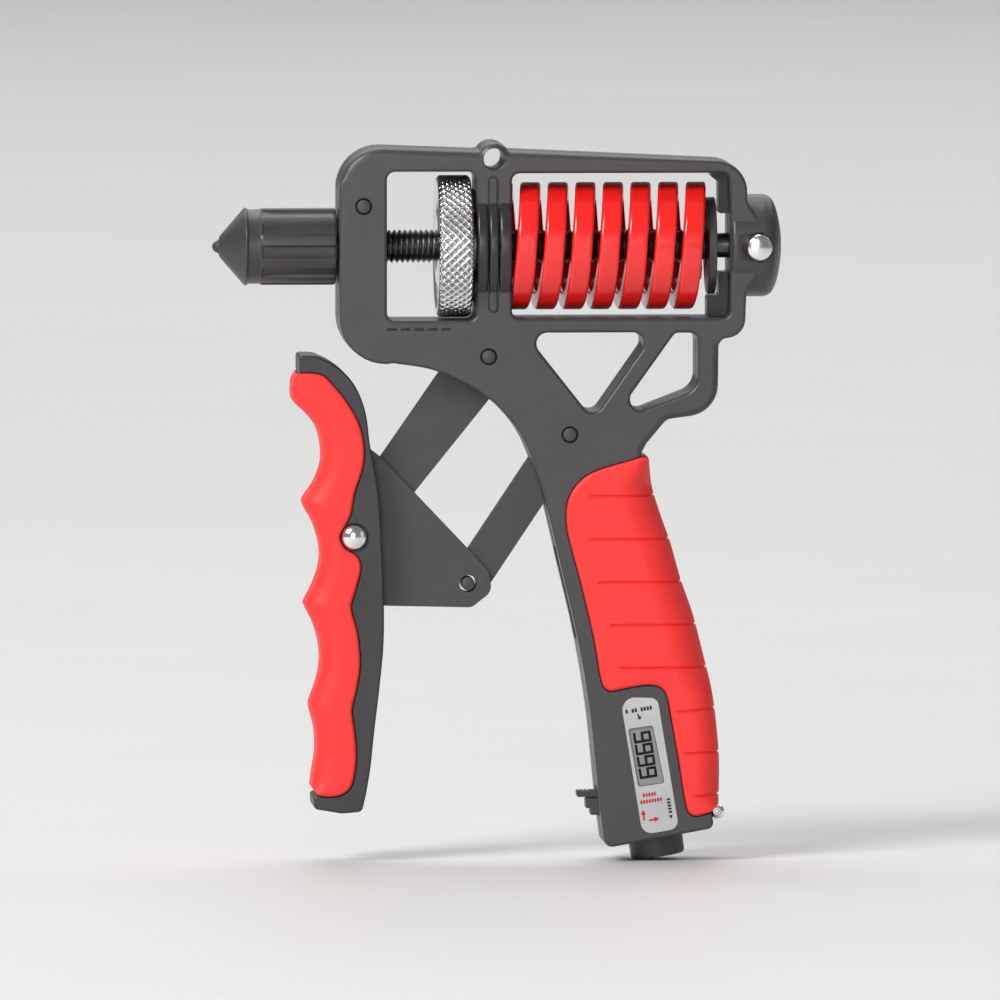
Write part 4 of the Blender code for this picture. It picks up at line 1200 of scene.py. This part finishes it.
def build_frame():
    for build, name, side, node in ((shell, "front_shell_skin", -1, "front_frame_shell"),
                                    (shell, "rear_shell_skin", 1, "rear_frame_shell"),
                                    (divider_key, "front_key_skin", -1, "front_divider_key"),
                                    (divider_key, "rear_key_skin", 1, "rear_divider_key")):
        # the shells' pin grooves get painted shade on their floors
        darken_beads_and_paint_groove_shade(piece(build(name, side), "frame", "shell", "shell", node))
    for name, at, node in (("dowel_skin", DOWEL, "frame_dowel"),
                           ("upper_pin_skin", LEVER_PIVOT, "upper_pivot_pin"),
                           ("lower_pin_skin", LINK_PIVOT, "lower_pivot_pin")):
        piece(pin(name, at, HALF - 0.1), "frame", "shell", "shell", node)
    rim = [(12.6, 0), (12.6, 2.45), (12.5, 2.62), (12.1, 3.0), (11.9, 3.1)]
    cross = [(-along, radius) for along, radius in rim] + rim[::-1]
    cross_pin = lathe("cross_pin_skin", cross, (CROSS_PIN_X, 0, AXIS_Z), "Y", 64)
    piece(cross_pin, "frame", "silver", "chrome", "rear_cross_pin")
    foot = [(0, 0), (0, 4.4), (0.35, 4.6), (0.35, 5.2), (0, 5.4), (0, FOOT_R - 0.1), (0.15, FOOT_R + 0.15),
            (0.5, FOOT_R + 0.35), (8.9, 6.6), (8.9, 0)]
    piece(foot_piece("foot_skin", foot), "frame", "black_plastic", "black", "end_foot")
    piece(build_rod_cover(), "frame", "black_plastic", "black", "rod_cover", angle=24)
    piece(build_main_grip(), "frame", "red_rubber", "rubber", "main_grip", angle=40, weighted=False)
    spring = piece(build_spring(), "frame", "red_enamel", "enamel", "spring", angle=40)
    spring.data.transform(spring.matrix_world)
    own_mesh(spring)
    for node, look in (("guide_post", "steel"), ("circuit_board", "board"), ("button_cell", "cell")):
        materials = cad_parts[node].data.materials  # the CAD shape is right and only gets its look
        materials.clear()
        materials.append(looks[look])


def build_moving():
    piece(build_upper_link(), "squeeze_lever", "link", "link", "upper_link")
    piece(build_lower_link(), "stay_link", "link", "link", "lower_link")
    piece(build_handle_core(), "front_handle", "black_plastic", "core", "front_handle_core")
    piece(build_finger_grip(), "front_handle", "red_rubber", "rubber", "front_grip", angle=40, weighted=False)
    for name, side, node in (("front_bracket_plate", -1, "front_bracket"),
                             ("rear_bracket_plate", 1, "rear_bracket")):
        piece(build_bracket(name, side), "front_handle", "link", "link", node)
    piece(build_rivet(), "front_handle", "silver", "chrome", "handle_rivet")
    bracket_pin = pin("bracket_pin_skin", BRACKET_PIVOT, BRACKET_OUTER - 0.05)
    piece(bracket_pin, "front_handle", "link", "link", "bracket_pin")
    # the knurl's floors get painted shade
    paint_knurl_pit_shade(piece(build_nut(), "nut", "silver", "chrome", "adjusting_nut", angle=60))
    piece(build_rod(), "rod", "dark_steel", "steel", "tension_rod", angle=50)
    seat = soft_corners([(49.4, 4.3), (49.4, 11.4), (51.4, 11.4), (51.4, 4.3)], 0.35)
    piece(lathe("spring_seat_disc", seat, closed=True), "rod", "shell", "shell", "spring_seat")
    washer = soft_corners([(-6.0, 4.4), (-6.0, 8.5), (-4.9, 8.5), (-4.9, 4.4)], 0.2)
    washer_ring = lathe("thrust_washer_ring", washer, closed=True)
    piece(washer_ring, "thrust_carriage", "dark_steel", "steel", "thrust_washer")


def build_stage():
    bm = bmesh.new()
    bmesh.ops.create_grid(bm, x_segments=8, y_segments=8, size=16000)
    floor = add("floor", bm)
    floor.data.materials.append(floor_look())


def lamp(name, at, size, power, aim=(5, 0, 90)):
    light = bpy.data.lights.new(name, "AREA")
    light.shape = "RECTANGLE"
    light.size, light.size_y = size[0] * MM, size[1] * MM
    light.energy = power
    made = linked(name, light)
    made.location = Vector(at) * MM
    made.rotation_euler = (Vector(aim) - Vector(at)).to_track_quat("-Z", "Y").to_euler()


def build_light():
    world = bpy.data.worlds.new("studio")
    bpy.context.scene.world = world
    world.use_nodes = True
    background = world.node_tree.nodes["Background"].inputs
    background["Color"].default_value = (0.80, 0.81, 0.82, 1)
    background["Strength"].default_value = 0.25
    lamp("key", (-1500, -1500, 1700), (1000, 1000), 62)
    lamp("front", (-300, -2300, 500), (700, 900), 10)
    lamp("fill", (1700, -1300, 500), (900, 1400), 2)
    lamp("top", (-200, 500, 1700), (900, 900), 8)
    lamp("backdrop", (0, 3500, 2200), (5000, 5200), 120, aim=(0, 3500, 0))


def build_camera():
    """A long lens, nearly level, a little from the left and from above."""
    azimuth, elevation, width = math.radians(-3.3), math.radians(3.3), 235.0
    data = bpy.data.cameras.new("camera")
    data.lens = 900
    data.clip_end = 100
    half = math.atan(data.sensor_width / 2 / data.lens)
    back = Vector((math.sin(azimuth) * math.cos(elevation), -math.cos(azimuth) * math.cos(elevation),
                   math.sin(elevation)))
    aim = Vector((0.235, -HALF, 85.4))
    made = linked("camera", data)
    made.location = (aim + back * (width / 2 / math.tan(half))) * MM
    made.rotation_euler = back.to_track_quat("Z", "Y").to_euler()
    bpy.context.scene.camera = made


build_camera()
looks = all_looks()
build_frame()
build_counter()
build_trigger()
build_reset()
build_moving()
build_stage()
build_light()
bpy.context.scene.view_settings.view_transform = "Standard"
